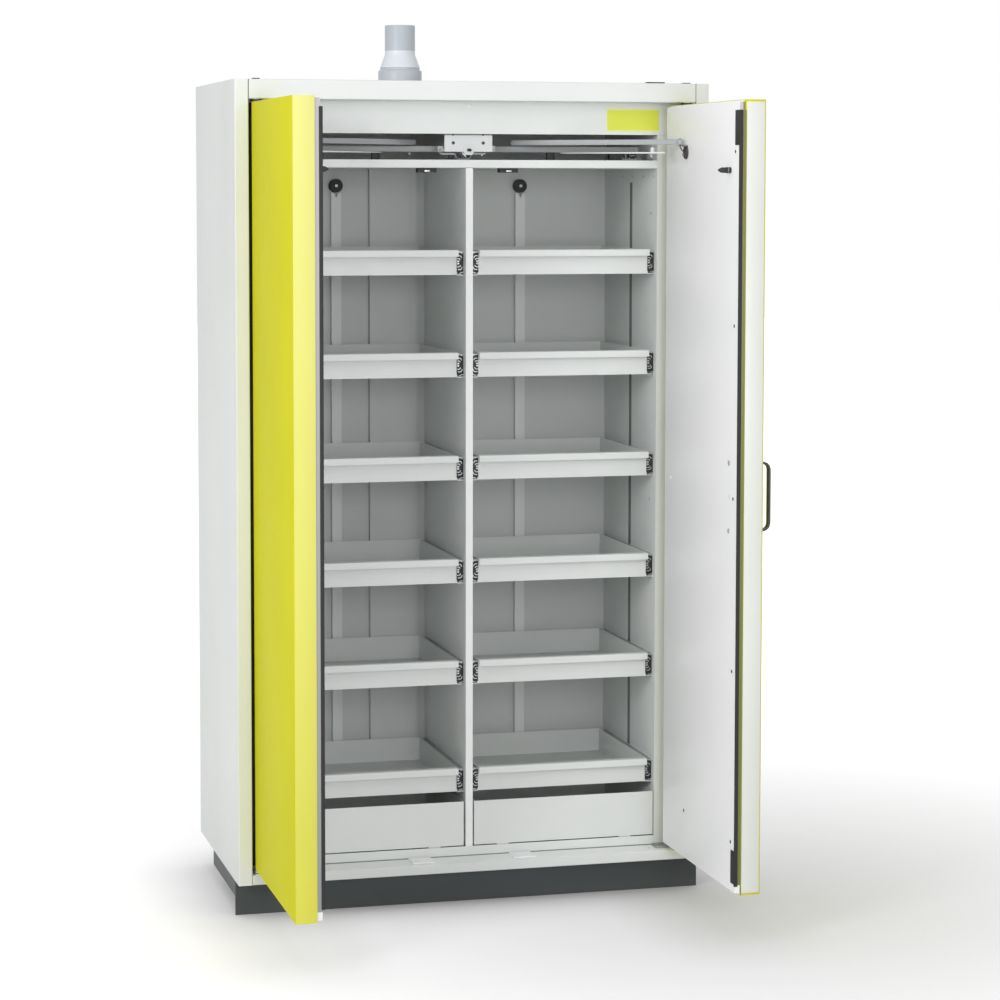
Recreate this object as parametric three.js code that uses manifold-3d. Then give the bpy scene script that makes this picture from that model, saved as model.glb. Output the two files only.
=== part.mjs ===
import * as THREE from 'three';
import { mergeVertices } from 'three/addons/utils/BufferGeometryUtils.js';
import Module from 'manifold-3d';

const wasm = await Module();
wasm.setup();

// Fire-rated two-door drawer cabinet, doors open at right angles, in millimetres.
// The sizes below count y from the casing's front face towards the rear, and z from the floor.

// Whole cabinet
const cabinetWidth = 1197;
const cabinetDepth = 615;
const casingTop = 2049;
const plinthHeight = 86;
const casingSheet = 1.5;
const foldInside = 1;
const rearFlange = 20;
const seam = 0.3;
const weld = 0.4;
const overrun = 5;
const roundSteps = 24;
const foldSteps = 2;

// Doorway: jambs, lintel and sill in front of the rebate that the doors close into
const jambWidth = 34;
const lintelHeight = 47.5;
const sillHeight = 24;
const rebateDepth = 73;

// Inner lining behind the rebate
const sideWallDepth = 110.5;
const rearWallDepth = 90;
const roofWallDepth = 59;
const liningSheet = 1.2;
const frameSheet = 1.5;
const floorRise = 24;
const fasciaHeight = 68;

// Ceiling plate over the compartments
const ceilingDrop = 211;
const ceilingHeight = 20;
const ceilingRearGap = 8;

// Partition between the compartments
const partitionWidth = 18;

// Dark upright slot and fixing holes in each side wall
const slotFront = 282;
const slotWidth = 26;
const slotFromCeiling = 35;
const slotFromFloor = 156;
const wallHoleRadius = 4;
const wallHoleDrops = [20, 20, 20, 20, 113, 842];
const wallHoleDepths = [102, 190, 279, 371, 125, 125];

// Exhaust duct on the rear wall, spigot on the roof
const ductLeft = -160;
const ductRight = -34;
const ductDepth = 18;
const ductFoot = 16;
const ductIntakeHeight = 30;
const spigotX = -100;
const spigotFromRear = 205;
const spigotFlangeRadius = 56;
const spigotPipeRadius = 38.8;
const spigotWall = 2.5;
const spigotCollarHeight = 41;
const spigotTaperHeight = 37;
const spigotHeight = 155.5;
const spigotBeadHeight = 6;
const spigotBead = 1.2;

// Rear rails and the round rubber stops above them
const rearRailWidth = 26;
const rearRailDepth = 16;
const rearRailSheet = 1.5;
const rearRailFromFloor = 156;
const rearRailFromCeiling = 63;
const railNotchDepth = 12;
const railNotchHalf = 6;
const clipHeight = 16;
const clipDepth = 3;
const clipDrop = 31;
const stopRadius = 17;
const stopDepth = 20;
const stopDrop = 44;
const stopHubRadius = 4;
const stopHubDepth = 2;

// Trays and their telescopic slides
const trayTopShares = [0.88087, 0.73122, 0.57981, 0.42752, 0.277, 0.11678];
const trayHeight = 62;
const traySheet = 1.5;
const trayPanelFront = 94;
const trayFromRear = 25;
const lipReach = 18;
const lipHeight = 16.5;
const slideGap = 18;
const slideBelowTop = 4;
const slideSheet = 1.4;
const slideFromRear = 31;
const slideClearance = 0.5;

// Sump boxes under the trays
const sumpHeight = 114;
const sumpFront = 76;
const sumpFromRear = 35;
const sumpSheet = 2;
const sumpPartitionGap = 4.5;
const sumpWallGap = 2.5;
const sumpSkid = 2;
const sumpSkidWidth = 30;
const sumpSkidInset = 60;
const sumpRimFold = 12;

// Doors
const doorOverSill = 14;
const doorUnderLintel = 7.5;
const doorSideGap = 3.5;
const doorMeetingGap = 3;
const caseDepth = 50;
const caseSheet = 1.2;
const pivotFromEdge = 17;
const pivotFromFace = 12.5;
const hingeRound = 28;
const hingeRoundSteps = 8;
const stepDepth = 12.5;
const stepFromHinge = 14.5;
const stepFromFree = 3;
const stepFromEnds = 5;
const pinRadius = 7;
const pinEngagement = 40;
const pinClearance = 0.5;
const washerRadius = 12;

// Black seal on each door's inner face
const sealDepth = 6.2;
const sealWidth = 11;
const sealFromFree = 8;
const sealFromBottom = 29;
const sealFromTop = 24;
const sealPadWidth = 35;
const sealPadHeight = 82;

// Peg on each door's inner face
const pegFromFree = 65;
const pegFromTop = 165;
const pegRadius = 7;
const pegLength = 32;
const pegBaseRadius = 11;
const pegBaseDepth = 3;
const pegTipRadius = 4.5;
const pegTaper = 6;

// Bow handle on the right door
const handleFromFree = 61;
const handleLow = 980;
const handleLength = 166;
const handleReach = 39;
const handleBar = 6;
const handleWidth = 16;
const handleCorner = 19;
const handleSteps = 30;

// White cover along the right door's free edge
const coverFromFace = 5;
const coverWidth = 40;
const coverThickness = 0.9;
const coverFromEnds = 6;

// Closer: plate, guide rail, door brackets and arms in the slot above the ceiling plate
const plateHalf = 61;
const plateFront = 84;
const plateFromSlotTop = 1;
const plateHeight = 43;
const plateSheet = 2;
const plateHangerDepth = 60;
const plateTabWidth = 22;
const plateTabDrop = 8;
const guideFromWall = 33;
const guideFootFromMiddle = 90;
const guideDepth = 14;
const guideRise = 19;
const guideHeight = 15;
const guideSheet = 1.5;
const guideFootWidth = 20;
const armPivotAlong = 142.5;
const armPivotOut = 14;
const armOverGuide = 3;
const armHeight = 13;
const armThickness = 6;
const armLength = 440;
const armEyeRadius = 7.5;
const armPinRadius = 3;
const armPinOverArm = 3;
const armPinClearance = 0.4;
const armOpenAngle = 36.85;
const bracketUnderArm = 4;
const bracketPlateRadius = 15;
const bracketPlate = 2.5;
const bracketTongueRadius = 7;
const bracketTongueHeight = 12;
const bracketCollarRadius = 5;

// Release block, pin and strip on the ceiling plate
const releaseFromWall = 2;
const releaseLength = 114;
const releaseFront = 104;
const releaseDepth = 18;
const releaseBase = 2.5;
const releaseBlockWidth = 32;
const releaseBlockHeight = 15;
const releasePinGap = 12;
const releasePinRadius = 2.5;
const releasePinHeight = 12;
const releaseTeeHalf = 6;
const releaseTeeHeight = 3;

// Ceiling catches and sill plates
const catchInner = 81;
const catchWidth = 47;
const catchFront = 86;
const catchDepth = 24;
const catchHeight = 11;
const catchSlotWidth = 14;
const catchSlotHeight = 5;
const sillPlateCentre = 130;
const sillPlateWidth = 58;
const sillPlateFront = 16;
const sillPlateDepth = 50;
const sillPlateHeight = 3.5;
const sillPlateChamfer = 2;

// Plinth and levelling feet
const plinthFront = 58;
const plinthSheet = 1.5;
const plinthInset = 0.5;
const skirtHeight = 38;
const skirtFromRear = 216;
const footInset = 58;
const footFront = 110;
const footFromRear = 55;
const footPadRadius = 25;
const footPadHeight = 8;
const footConeHeight = 6;
const footStemRadius = 8;
const footFlangeRadius = 30;
const footFlangeHeight = 6;

// Places that follow from the sizes above
const halfWidth = cabinetWidth / 2;
const jambInner = halfWidth - jambWidth;
const lintelBottom = casingTop - lintelHeight;
const sillTop = plinthHeight + sillHeight;
const floorTop = sillTop + floorRise;
const chamberTop = casingTop - roofWallDepth;
const slotTop = chamberTop - fasciaHeight;
const ceilingUnderside = casingTop - ceilingDrop;
const compartmentHeight = ceilingUnderside - floorTop;
const casingInside = halfWidth - casingSheet - seam;
const rearInside = cabinetDepth - casingSheet - seam;
const frameFront = rebateDepth + seam;
const liningFront = frameFront + frameSheet + seam;
const liningHalf = halfWidth - sideWallDepth;
const rearWallFront = cabinetDepth - rearWallDepth;
const wallOutside = liningHalf + liningSheet;
const boardHalf = wallOutside + seam;
const boardRear = rearWallFront + liningSheet + seam;
const ceilingTop = ceilingUnderside + ceilingHeight;
const partitionHalf = partitionWidth / 2;
const railCentre = (liningHalf + partitionHalf) / 2;
const slideFront = trayPanelFront;
const slideRear = rearWallFront - slideFromRear;
const slideStep = slideSheet + slideClearance;
const trayRear = rearWallFront - trayFromRear;
const trayTops = trayTopShares.map((share) => floorTop + compartmentHeight * share);
const hingeX = jambInner - doorSideGap - pivotFromEdge;
const hingeY = pivotFromFace;
const doorBottom = sillTop + doorOverSill;
const doorTop = lintelBottom - doorUnderLintel;
const doorWidth = jambInner - doorSideGap - doorMeetingGap / 2;
const doorFree = doorWidth - pivotFromEdge;
const panelFace = caseDepth + stepDepth - pivotFromFace;
const doorReach = doorFree + seam + coverThickness - hingeY;
const boreRadius = pinRadius + pinClearance;
const spigotY = cabinetDepth - spigotFromRear;
const armSlant = THREE.MathUtils.degToRad(armOpenAngle);
const armTipY = hingeY - armPivotAlong + armLength * Math.sin(armSlant);
const guideBottom = ceilingTop + guideRise;
const armBottom = guideBottom + guideHeight + armOverGuide;

// Ready-made forms

function solidFrom(geometry) {
  const bare = geometry.clone();
  bare.deleteAttribute('normal');
  bare.deleteAttribute('uv');
  const merged = mergeVertices(bare);
  const corners = merged.index.array;
  const kept = [];
  for (let i = 0; i < corners.length; i += 3) {
    const [a, b, c] = [corners[i], corners[i + 1], corners[i + 2]];
    if (a !== b && b !== c && c !== a) kept.push(a, b, c);
  }
  return new wasm.Manifold(new wasm.Mesh({
    numProp: 3,
    vertProperties: new Float32Array(merged.attributes.position.array),
    triVerts: new Uint32Array(kept),
  }));
}

function geometryFrom(solid) {
  const mesh = solid.getMesh();
  const geometry = new THREE.BufferGeometry();
  geometry.setAttribute('position', new THREE.BufferAttribute(mesh.vertProperties, 3));
  geometry.setIndex(new THREE.BufferAttribute(mesh.triVerts, 1));
  geometry.computeVertexNormals();
  return geometry;
}

function join(...solids) {
  return solids.reduce((whole, next) => whole.add(next));
}

function cut(solid, ...tools) {
  return tools.reduce((left, tool) => left.subtract(tool), solid);
}

// A block between two corners, given in either order
function block(x0, x1, y0, y1, z0, z1) {
  const geometry = new THREE.BoxGeometry(Math.abs(x1 - x0), Math.abs(y1 - y0), Math.abs(z1 - z0));
  geometry.translate((x0 + x1) / 2, (y0 + y1) / 2, (z0 + z1) / 2);
  return solidFrom(geometry);
}

function shapeOf(points) {
  return new THREE.Shape(points.map(([u, v]) => new THREE.Vector2(u, v)));
}

function mirrored(points, side) {
  return points.map(([u, v]) => [u * side, v]);
}

// An outline in x and y, raised from one height to another
function upright(points, low, high) {
  const geometry = new THREE.ExtrudeGeometry(shapeOf(points), { depth: high - low, bevelEnabled: false });
  geometry.translate(0, 0, low);
  return solidFrom(geometry);
}

// An outline in y and z, drawn out across the cabinet
function across(points, x0, x1) {
  const depth = Math.abs(x1 - x0);
  const geometry = new THREE.ExtrudeGeometry(shapeOf(points), { depth, bevelEnabled: false });
  const turn = new THREE.Matrix4().makeBasis(
    new THREE.Vector3(0, 1, 0),
    new THREE.Vector3(0, 0, 1),
    new THREE.Vector3(1, 0, 0),
  );
  geometry.applyMatrix4(turn);
  geometry.translate(Math.min(x0, x1), 0, 0);
  return solidFrom(geometry);
}

// An outline in x and z, drawn out from front to rear
function rearward(points, front, rear) {
  const geometry = new THREE.ExtrudeGeometry(shapeOf(points), { depth: rear - front, bevelEnabled: false });
  const turn = new THREE.Matrix4().makeBasis(
    new THREE.Vector3(1, 0, 0),
    new THREE.Vector3(0, 0, 1),
    new THREE.Vector3(0, -1, 0),
  );
  geometry.applyMatrix4(turn);
  geometry.translate(0, rear, 0);
  return solidFrom(geometry);
}

function rod(x, y, low, high, radius) {
  const geometry = new THREE.CylinderGeometry(radius, radius, high - low, roundSteps);
  geometry.rotateX(Math.PI / 2);
  geometry.translate(x, y, (low + high) / 2);
  return solidFrom(geometry);
}

// A round bar that lies along y
function rodRearward(x, z, front, rear, radius) {
  const geometry = new THREE.CylinderGeometry(radius, radius, rear - front, roundSteps);
  geometry.translate(x, (front + rear) / 2, z);
  return solidFrom(geometry);
}

function rodAcross(y, z, x0, x1, radius) {
  const geometry = new THREE.CylinderGeometry(radius, radius, Math.abs(x1 - x0), roundSteps);
  geometry.rotateZ(Math.PI / 2);
  geometry.translate((x0 + x1) / 2, y, z);
  return solidFrom(geometry);
}

// A profile of radius and height, turned about the z axis
function turned(profile) {
  const points = profile.map(([radius, height]) => new THREE.Vector2(radius, height));
  const geometry = new THREE.LatheGeometry(points, roundSteps);
  geometry.rotateX(Math.PI / 2);
  return solidFrom(geometry);
}

// A folded sheet: its outer face follows the path and its thickness lies to the path's left
function foldedSheet(path, thickness, steps = foldSteps) {
  const face = [path[0]];
  const back = [];
  const unit = (a, b) => {
    const length = Math.hypot(b[0] - a[0], b[1] - a[1]);
    return [(b[0] - a[0]) / length, (b[1] - a[1]) / length];
  };
  const first = unit(path[0], path[1]);
  back.push([path[0][0] - first[1] * thickness, path[0][1] + first[0] * thickness]);
  for (let i = 1; i < path.length - 1; i += 1) {
    const into = unit(path[i - 1], path[i]);
    const out = unit(path[i], path[i + 1]);
    const turn = Math.asin(into[0] * out[1] - into[1] * out[0]);
    const sign = Math.sign(turn);
    const inside = steps > 0 ? foldInside : 0;
    const radius = sign > 0 ? inside + thickness : inside;
    const setback = radius * Math.tan(Math.abs(turn) / 2);
    const centre = [
      path[i][0] - into[0] * setback - sign * radius * into[1],
      path[i][1] - into[1] * setback + sign * radius * into[0],
    ];
    if (steps === 0) {
      const reach = thickness * Math.tan(Math.abs(turn) / 2) * sign;
      face.push(path[i]);
      back.push([
        path[i][0] - into[1] * thickness - into[0] * reach,
        path[i][1] + into[0] * thickness - into[1] * reach,
      ]);
    } else {
      for (let k = 0; k <= steps; k += 1) {
        const angle = (turn * k) / steps;
        const spoke = [sign * into[1], -sign * into[0]];
        const x = spoke[0] * Math.cos(angle) - spoke[1] * Math.sin(angle);
        const y = spoke[0] * Math.sin(angle) + spoke[1] * Math.cos(angle);
        const backRadius = radius - sign * thickness;
        face.push([centre[0] + x * radius, centre[1] + y * radius]);
        back.push([centre[0] + x * backRadius, centre[1] + y * backRadius]);
      }
    }
  }
  const end = path[path.length - 1];
  const last = unit(path[path.length - 2], end);
  face.push(end);
  back.push([end[0] - last[1] * thickness, end[1] + last[0] * thickness]);
  return [...face, ...back.reverse()];
}

// Looks of the painted, plated and moulded pieces
const casingWhite = { color: 0xe3e7e5, roughness: 0.5, metalness: 0.1 };
const limeYellow = { color: 0xd9d83a, roughness: 0.45, metalness: 0.1 };
const doorWhite = { color: 0xf0f1f2, roughness: 0.45, metalness: 0.1 };
const trayGrey = { color: 0xd7dad8, roughness: 0.5, metalness: 0.15 };
const liningGrey = { color: 0xb4b7b5, roughness: 0.55, metalness: 0.15 };
const boardGrey = { color: 0x8e8f8c, roughness: 0.9, metalness: 0 };
const plinthGrey = { color: 0x3b3f40, roughness: 0.6, metalness: 0.2 };
const gunMetal = { color: 0x4e4a4c, roughness: 0.4, metalness: 0.6 };
const brightSteel = { color: 0xb9bcbe, roughness: 0.35, metalness: 0.9 };
const sealBlack = { color: 0x35333a, roughness: 0.8, metalness: 0 };
const rubberBlack = { color: 0x26282a, roughness: 0.75, metalness: 0 };
const spigotGrey = { color: 0xc5cbd3, roughness: 0.4, metalness: 0.2 };
const plateWhite = { color: 0xf5f7f7, roughness: 0.5, metalness: 0.05 };

const cabinet = new THREE.Group();
cabinet.position.y = -(cabinetDepth - doorReach) / 2;

function place(parent, name, solid, look) {
  const mesh = new THREE.Mesh(geometryFrom(solid), new THREE.MeshStandardMaterial(look));
  mesh.name = name;
  parent.add(mesh);
}

// Side casings: one folded sheet each, from the rear flange round to the rebate
function sideCasing(side) {
  const path = [
    [-halfWidth + rearFlange, cabinetDepth],
    [-halfWidth, cabinetDepth],
    [-halfWidth, 0],
    [-jambInner, 0],
    [-jambInner, rebateDepth],
  ];
  return upright(mirrored(foldedSheet(path, casingSheet), -side), plinthHeight, casingTop);
}

// Wings of the top and bottom sheets, over the hollows of the jambs
function jambWings(low, high) {
  const inner = jambInner + casingSheet + seam;
  const front = casingSheet + seam;
  const wings = [-1, 1].map((side) => block(
    side * inner, side * casingInside, front, rearInside, low, high,
  ));
  return join(...wings, block(-casingInside, casingInside, frameFront, rearInside, low, high));
}

// Top casing: roof sheet, lintel, upper hinge pins
const topPath = [
  [rearInside, casingTop],
  [0, casingTop],
  [0, lintelBottom],
  [rebateDepth, lintelBottom],
];
const topSheet = across(foldedSheet(topPath, casingSheet), -jambInner + seam, jambInner - seam);
const upperPins = [-1, 1].map((side) => join(
  rod(side * hingeX, hingeY, doorTop - pinEngagement, lintelBottom + weld, pinRadius),
  rod(side * hingeX, hingeY, doorTop + seam, lintelBottom + weld, washerRadius),
));
const roofBore = rod(
  spigotX, spigotY, chamberTop - overrun, casingTop + overrun, spigotPipeRadius - spigotWall,
);
const topCasing = cut(
  join(topSheet, jambWings(casingTop - casingSheet, casingTop), ...upperPins),
  roofBore,
);

// Base casing: bottom sheet, sill, lower hinge pins
const basePath = [
  [rebateDepth, sillTop],
  [0, sillTop],
  [0, plinthHeight],
  [rearInside, plinthHeight],
];
const baseSheet = across(foldedSheet(basePath, casingSheet), -jambInner + seam, jambInner - seam);
const lowerPins = [-1, 1].map((side) => join(
  rod(side * hingeX, hingeY, sillTop - weld, doorBottom + pinEngagement, pinRadius),
  rod(side * hingeX, hingeY, sillTop - weld, doorBottom - seam, washerRadius),
));
const baseCasing = join(
  baseSheet, jambWings(plinthHeight, plinthHeight + casingSheet), ...lowerPins,
);

const rearCasing = block(
  -casingInside, casingInside, rearInside - casingSheet, rearInside,
  plinthHeight + casingSheet + seam, casingTop - casingSheet - seam,
);

place(cabinet, 'left_side_casing', sideCasing(-1), casingWhite);
place(cabinet, 'right_side_casing', sideCasing(1), casingWhite);
place(cabinet, 'top_casing', topCasing, casingWhite);
place(cabinet, 'base_casing', baseCasing, casingWhite);
place(cabinet, 'rear_casing', rearCasing, casingWhite);

// Insulation boards between casing and lining, filling jambs, lintel and sill
const skinGap = casingSheet + seam;
const boardLow = plinthHeight + skinGap;
const boardHigh = casingTop - skinGap;
const rearBoardFront = boardRear + seam;
const boardFront = liningFront;

function sideBoard(side) {
  const outline = [
    [boardHalf, boardFront],
    [jambInner + skinGap, boardFront],
    [jambInner + skinGap, skinGap],
    [casingInside, skinGap],
    [casingInside, boardRear],
    [boardHalf, boardRear],
  ];
  return upright(mirrored(outline, side), boardLow, boardHigh);
}

const roofOutline = [
  [boardFront, chamberTop],
  [boardRear, chamberTop],
  [boardRear, boardHigh],
  [skinGap, boardHigh],
  [skinGap, lintelBottom + skinGap],
  [boardFront, lintelBottom + skinGap],
];
const floorOutline = [
  [boardFront, floorTop],
  [rearWallFront - seam, floorTop],
  [rearWallFront - seam, boardLow],
  [skinGap, boardLow],
  [skinGap, sillTop - skinGap],
  [boardFront, sillTop - skinGap],
];
const rearBoard = block(
  -casingInside, casingInside, rearBoardFront, rearInside - casingSheet - seam,
  boardLow, boardHigh,
);

place(cabinet, 'left_side_board', sideBoard(-1), boardGrey);
place(cabinet, 'right_side_board', sideBoard(1), boardGrey);
place(cabinet, 'roof_board', cut(across(roofOutline, -wallOutside, wallOutside), roofBore), boardGrey);
place(cabinet, 'floor_board', across(floorOutline, -liningHalf + seam, liningHalf - seam), boardGrey);
place(cabinet, 'rear_board', rearBoard, boardGrey);

// Fascia above the slot and apron below the compartments, two flat sheets
const frameRear = frameFront + frameSheet;
const jambFace = jambInner - seam;
place(cabinet, 'fascia', block(
  -jambFace, jambFace, frameFront, frameRear, slotTop, lintelBottom,
), casingWhite);
place(cabinet, 'apron', block(
  -liningHalf + seam, liningHalf - seam, frameFront, frameRear, sillTop, floorTop,
), casingWhite);

// One C-shaped slide member on a face; its flanges stand out from the face by a depth
function slideChannel(face, outward, low, high, depth) {
  const path = [
    [-depth, high],
    [weld, high],
    [weld, low],
    [-depth, low],
  ];
  const outline = foldedSheet(path.reverse(), slideSheet, 0);
  return rearward(outline.map(([u, v]) => [face + u * outward, v]), slideFront, slideRear);
}

function fixedSlides(face, outward) {
  return trayTops.map((top) => slideChannel(
    face, outward, top - trayHeight - slideStep, top - slideBelowTop, slideGap - slideClearance,
  ));
}

// Side linings with the upright slot, the fixing holes, the fixed slide members and the jamb face
function innerWall(side) {
  const sheet = block(
    side * liningHalf, side * wallOutside, liningFront, rearWallFront - seam,
    floorTop, chamberTop - seam,
  );
  const slot = block(
    side * (liningHalf - overrun), side * (wallOutside + overrun),
    slotFront, slotFront + slotWidth,
    floorTop + slotFromFloor, ceilingUnderside - slotFromCeiling,
  );
  const holes = wallHoleDrops.map((drop, i) => rodAcross(
    wallHoleDepths[i], ceilingUnderside - drop,
    side * (liningHalf - overrun), side * (wallOutside + overrun), wallHoleRadius,
  ));
  const face = block(
    side * liningHalf, side * jambFace, frameFront, frameRear, sillTop, slotTop - seam,
  );
  const corner = block(
    side * liningHalf, side * wallOutside, frameFront, liningFront + weld, floorTop, slotTop - seam,
  );
  return join(cut(sheet, slot, ...holes), face, corner, ...fixedSlides(side * liningHalf, side));
}

place(cabinet, 'left_inner_wall', innerWall(-1), liningGrey);
place(cabinet, 'right_inner_wall', innerWall(1), liningGrey);

// Partition: a folded box section that stands on the floor and carries slides on both faces
const partitionLow = floorTop + seam;
const partitionHigh = ceilingUnderside - seam;
const partitionRear = rearWallFront - seam;
const partitionHollow = block(
  -partitionHalf + liningSheet, partitionHalf - liningSheet,
  frameFront + liningSheet, partitionRear - liningSheet,
  partitionLow - overrun, partitionHigh + overrun,
);
const partitionBox = cut(
  block(-partitionHalf, partitionHalf, frameFront, partitionRear, partitionLow, partitionHigh),
  partitionHollow,
);
const partition = join(
  partitionBox,
  ...fixedSlides(-partitionHalf, 1),
  ...fixedSlides(partitionHalf, -1),
);
place(cabinet, 'partition', partition, liningGrey);

// Ceiling plate: a shallow folded tray over both compartments
const ceilingPath = [
  [frameFront, ceilingTop],
  [frameFront, ceilingUnderside],
  [rearWallFront - ceilingRearGap, ceilingUnderside],
  [rearWallFront - ceilingRearGap, ceilingTop],
];
const ceiling = across(foldedSheet(ceilingPath, liningSheet), -liningHalf + seam, liningHalf - seam);
place(cabinet, 'ceiling_plate', ceiling, casingWhite);

// Rear lining with the exhaust duct, its intake at the foot, and the round stops
const rearSheet = block(
  -liningHalf, liningHalf, rearWallFront, rearWallFront + liningSheet, floorTop, chamberTop - seam,
);
const ductLow = floorTop + ductFoot;
const ductShell = block(
  ductLeft, ductRight, rearWallFront - ductDepth, rearWallFront + weld,
  ductLow, ceilingUnderside - seam,
);
const ductHollow = block(
  ductLeft + liningSheet, ductRight - liningSheet,
  rearWallFront - ductDepth + liningSheet, rearWallFront,
  ductLow - overrun, ceilingUnderside + overrun,
);
const ductIntake = block(
  ductLeft + ductDepth, ductRight - ductDepth,
  rearWallFront - ductDepth - overrun, rearWallFront - liningSheet,
  ductLow + ductIntakeHeight, ductLow + ductIntakeHeight * 2,
);
const stopZ = ceilingUnderside - stopDrop;
const stopFront = rearWallFront - stopDepth;
const stops = [-1, 1].map((side) => join(
  rodRearward(side * railCentre, stopZ, stopFront, rearWallFront + weld, stopRadius),
  rodRearward(side * railCentre, stopZ, stopFront - stopHubDepth, stopFront + weld, stopHubRadius),
));
const rearWall = join(rearSheet, cut(ductShell, ductHollow, ductIntake), ...stops);
place(cabinet, 'rear_inner_wall', rearWall, liningGrey);

// Rear rails: an upright channel with a notched head and a clip below each tray
const rearRailBottom = floorTop + rearRailFromFloor;
const rearRailTop = ceilingUnderside - rearRailFromCeiling;

function rearRail(side) {
  const half = rearRailWidth / 2;
  const front = rearWallFront - seam - rearRailDepth;
  const path = [
    [railCentre + half, rearWallFront - seam],
    [railCentre + half, front],
    [railCentre - half, front],
    [railCentre - half, rearWallFront - seam],
  ];
  const outline = mirrored(foldedSheet(path.reverse(), rearRailSheet, 0), side);
  const channel = upright(outline, rearRailBottom, rearRailTop);
  const notch = [
    [side * railCentre - railNotchHalf, rearRailTop + overrun],
    [side * railCentre - railNotchHalf, rearRailTop],
    [side * railCentre, rearRailTop - railNotchDepth],
    [side * railCentre + railNotchHalf, rearRailTop],
    [side * railCentre + railNotchHalf, rearRailTop + overrun],
  ];
  const clips = trayTops.filter((top) => top - trayHeight > rearRailBottom).map((top) => block(
    side * railCentre - half, side * railCentre + half, front - clipDepth, front + weld,
    top - trayHeight - clipDrop, top - trayHeight - clipDrop + clipHeight,
  ));
  const cutter = rearward(notch, front - overrun, rearWallFront + overrun);
  return join(cut(channel, cutter), ...clips);
}

place(cabinet, 'left_rear_rail', rearRail(-1), liningGrey);
place(cabinet, 'right_rear_rail', rearRail(1), liningGrey);

// Exhaust spigot: collar, taper and pipe turned as one shell with a bead at each edge of the collar
const collarTop = casingTop + spigotCollarHeight;
const taperTop = collarTop + spigotTaperHeight;
const spigotTop = casingTop + spigotHeight;
const spigotBore = spigotPipeRadius - spigotWall;
const spigotProfile = [
  [spigotBore, casingTop + seam],
  [spigotFlangeRadius, casingTop + seam],
  [spigotFlangeRadius, collarTop - spigotBeadHeight],
  [spigotFlangeRadius + spigotBead, collarTop - spigotBeadHeight / 2],
  [spigotFlangeRadius, collarTop],
  [spigotPipeRadius, taperTop],
  [spigotPipeRadius, spigotTop],
  [spigotBore, spigotTop],
  [spigotBore, casingTop + seam],
];
place(cabinet, 'exhaust_spigot', turned(spigotProfile).translate([spigotX, spigotY, 0]), spigotGrey);

// Trays: a folded pan with a grip along its front and the moving slide members on its sides
const trayInner = partitionHalf + slideGap;
const trayOuter = liningHalf - slideGap;

// A tray of the left column; the two columns' trays are alike
function tray(top) {
  const low = top - trayHeight;
  const pan = cut(
    block(-trayOuter, -trayInner, trayPanelFront, trayRear, low, top),
    block(
      -trayOuter + traySheet, -trayInner - traySheet,
      trayPanelFront + traySheet, trayRear - traySheet, low + traySheet, top + overrun,
    ),
  );
  const gripPath = [
    [trayPanelFront + traySheet / 2, top],
    [trayPanelFront - lipReach, top],
    [trayPanelFront - lipReach, top - lipHeight],
  ];
  const grip = across(foldedSheet(gripPath, traySheet), -trayOuter, -trayInner);
  const runnerTop = top - slideBelowTop - slideStep;
  const runners = [
    slideChannel(-trayInner, -1, low, runnerTop, slideGap - slideStep),
    slideChannel(-trayOuter, 1, low, runnerTop, slideGap - slideStep),
  ];
  return join(pan, grip, ...runners);
}

trayTops.forEach((top, i) => {
  place(cabinet, `left_tray_${i + 1}`, tray(top), trayGrey);
  place(cabinet, `right_tray_${i + 1}`, tray(top).translate([trayInner + trayOuter, 0, 0]), trayGrey);
});

// Sump boxes: folded pans on two skids, with a rim folded outwards at the rear
function sumpBox(side) {
  const inner = partitionHalf + sumpPartitionGap;
  const outer = liningHalf - sumpWallGap;
  const low = floorTop + seam + sumpSkid;
  const high = floorTop + sumpHeight;
  const sumpRear = rearWallFront - sumpFromRear;
  const pan = cut(
    block(side * inner, side * outer, sumpFront, sumpRear, low, high),
    block(
      side * (inner + sumpSheet), side * (outer - sumpSheet),
      sumpFront + sumpSheet, sumpRear - sumpSheet, low + sumpSheet, high + overrun,
    ),
  );
  const rim = block(
    side * inner, side * outer, sumpRear - weld, sumpRear + sumpRimFold, high - sumpSheet, high,
  );
  const skidStarts = [inner + sumpSkidInset, outer - sumpSkidInset - sumpSkidWidth];
  const skids = skidStarts.map((start) => block(
    side * start, side * (start + sumpSkidWidth), sumpFront, sumpRear, floorTop + seam, low + weld,
  ));
  return join(pan, rim, ...skids);
}

place(cabinet, 'left_sump_box', sumpBox(-1), trayGrey);
place(cabinet, 'right_sump_box', sumpBox(1), trayGrey);

// Closer plate: hangs from the roof of the chamber, down behind the fascia to the slot
const plateTop = slotTop - plateFromSlotTop;
const plateBottom = plateTop - plateHeight;
const plateRear = plateFront + plateHangerDepth;
const platePath = [
  [plateFront, plateBottom],
  [plateFront, plateTop],
  [plateRear, plateTop],
  [plateRear, chamberTop - seam],
];
const plateBody = across(foldedSheet(platePath.reverse(), plateSheet), -plateHalf, plateHalf);
const plateTab = block(
  -plateTabWidth / 2, plateTabWidth / 2,
  plateFront, plateFront + plateSheet, plateBottom - plateTabDrop, plateBottom + weld,
);
place(cabinet, 'closer_plate', join(plateBody, plateTab), plateWhite);

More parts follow.
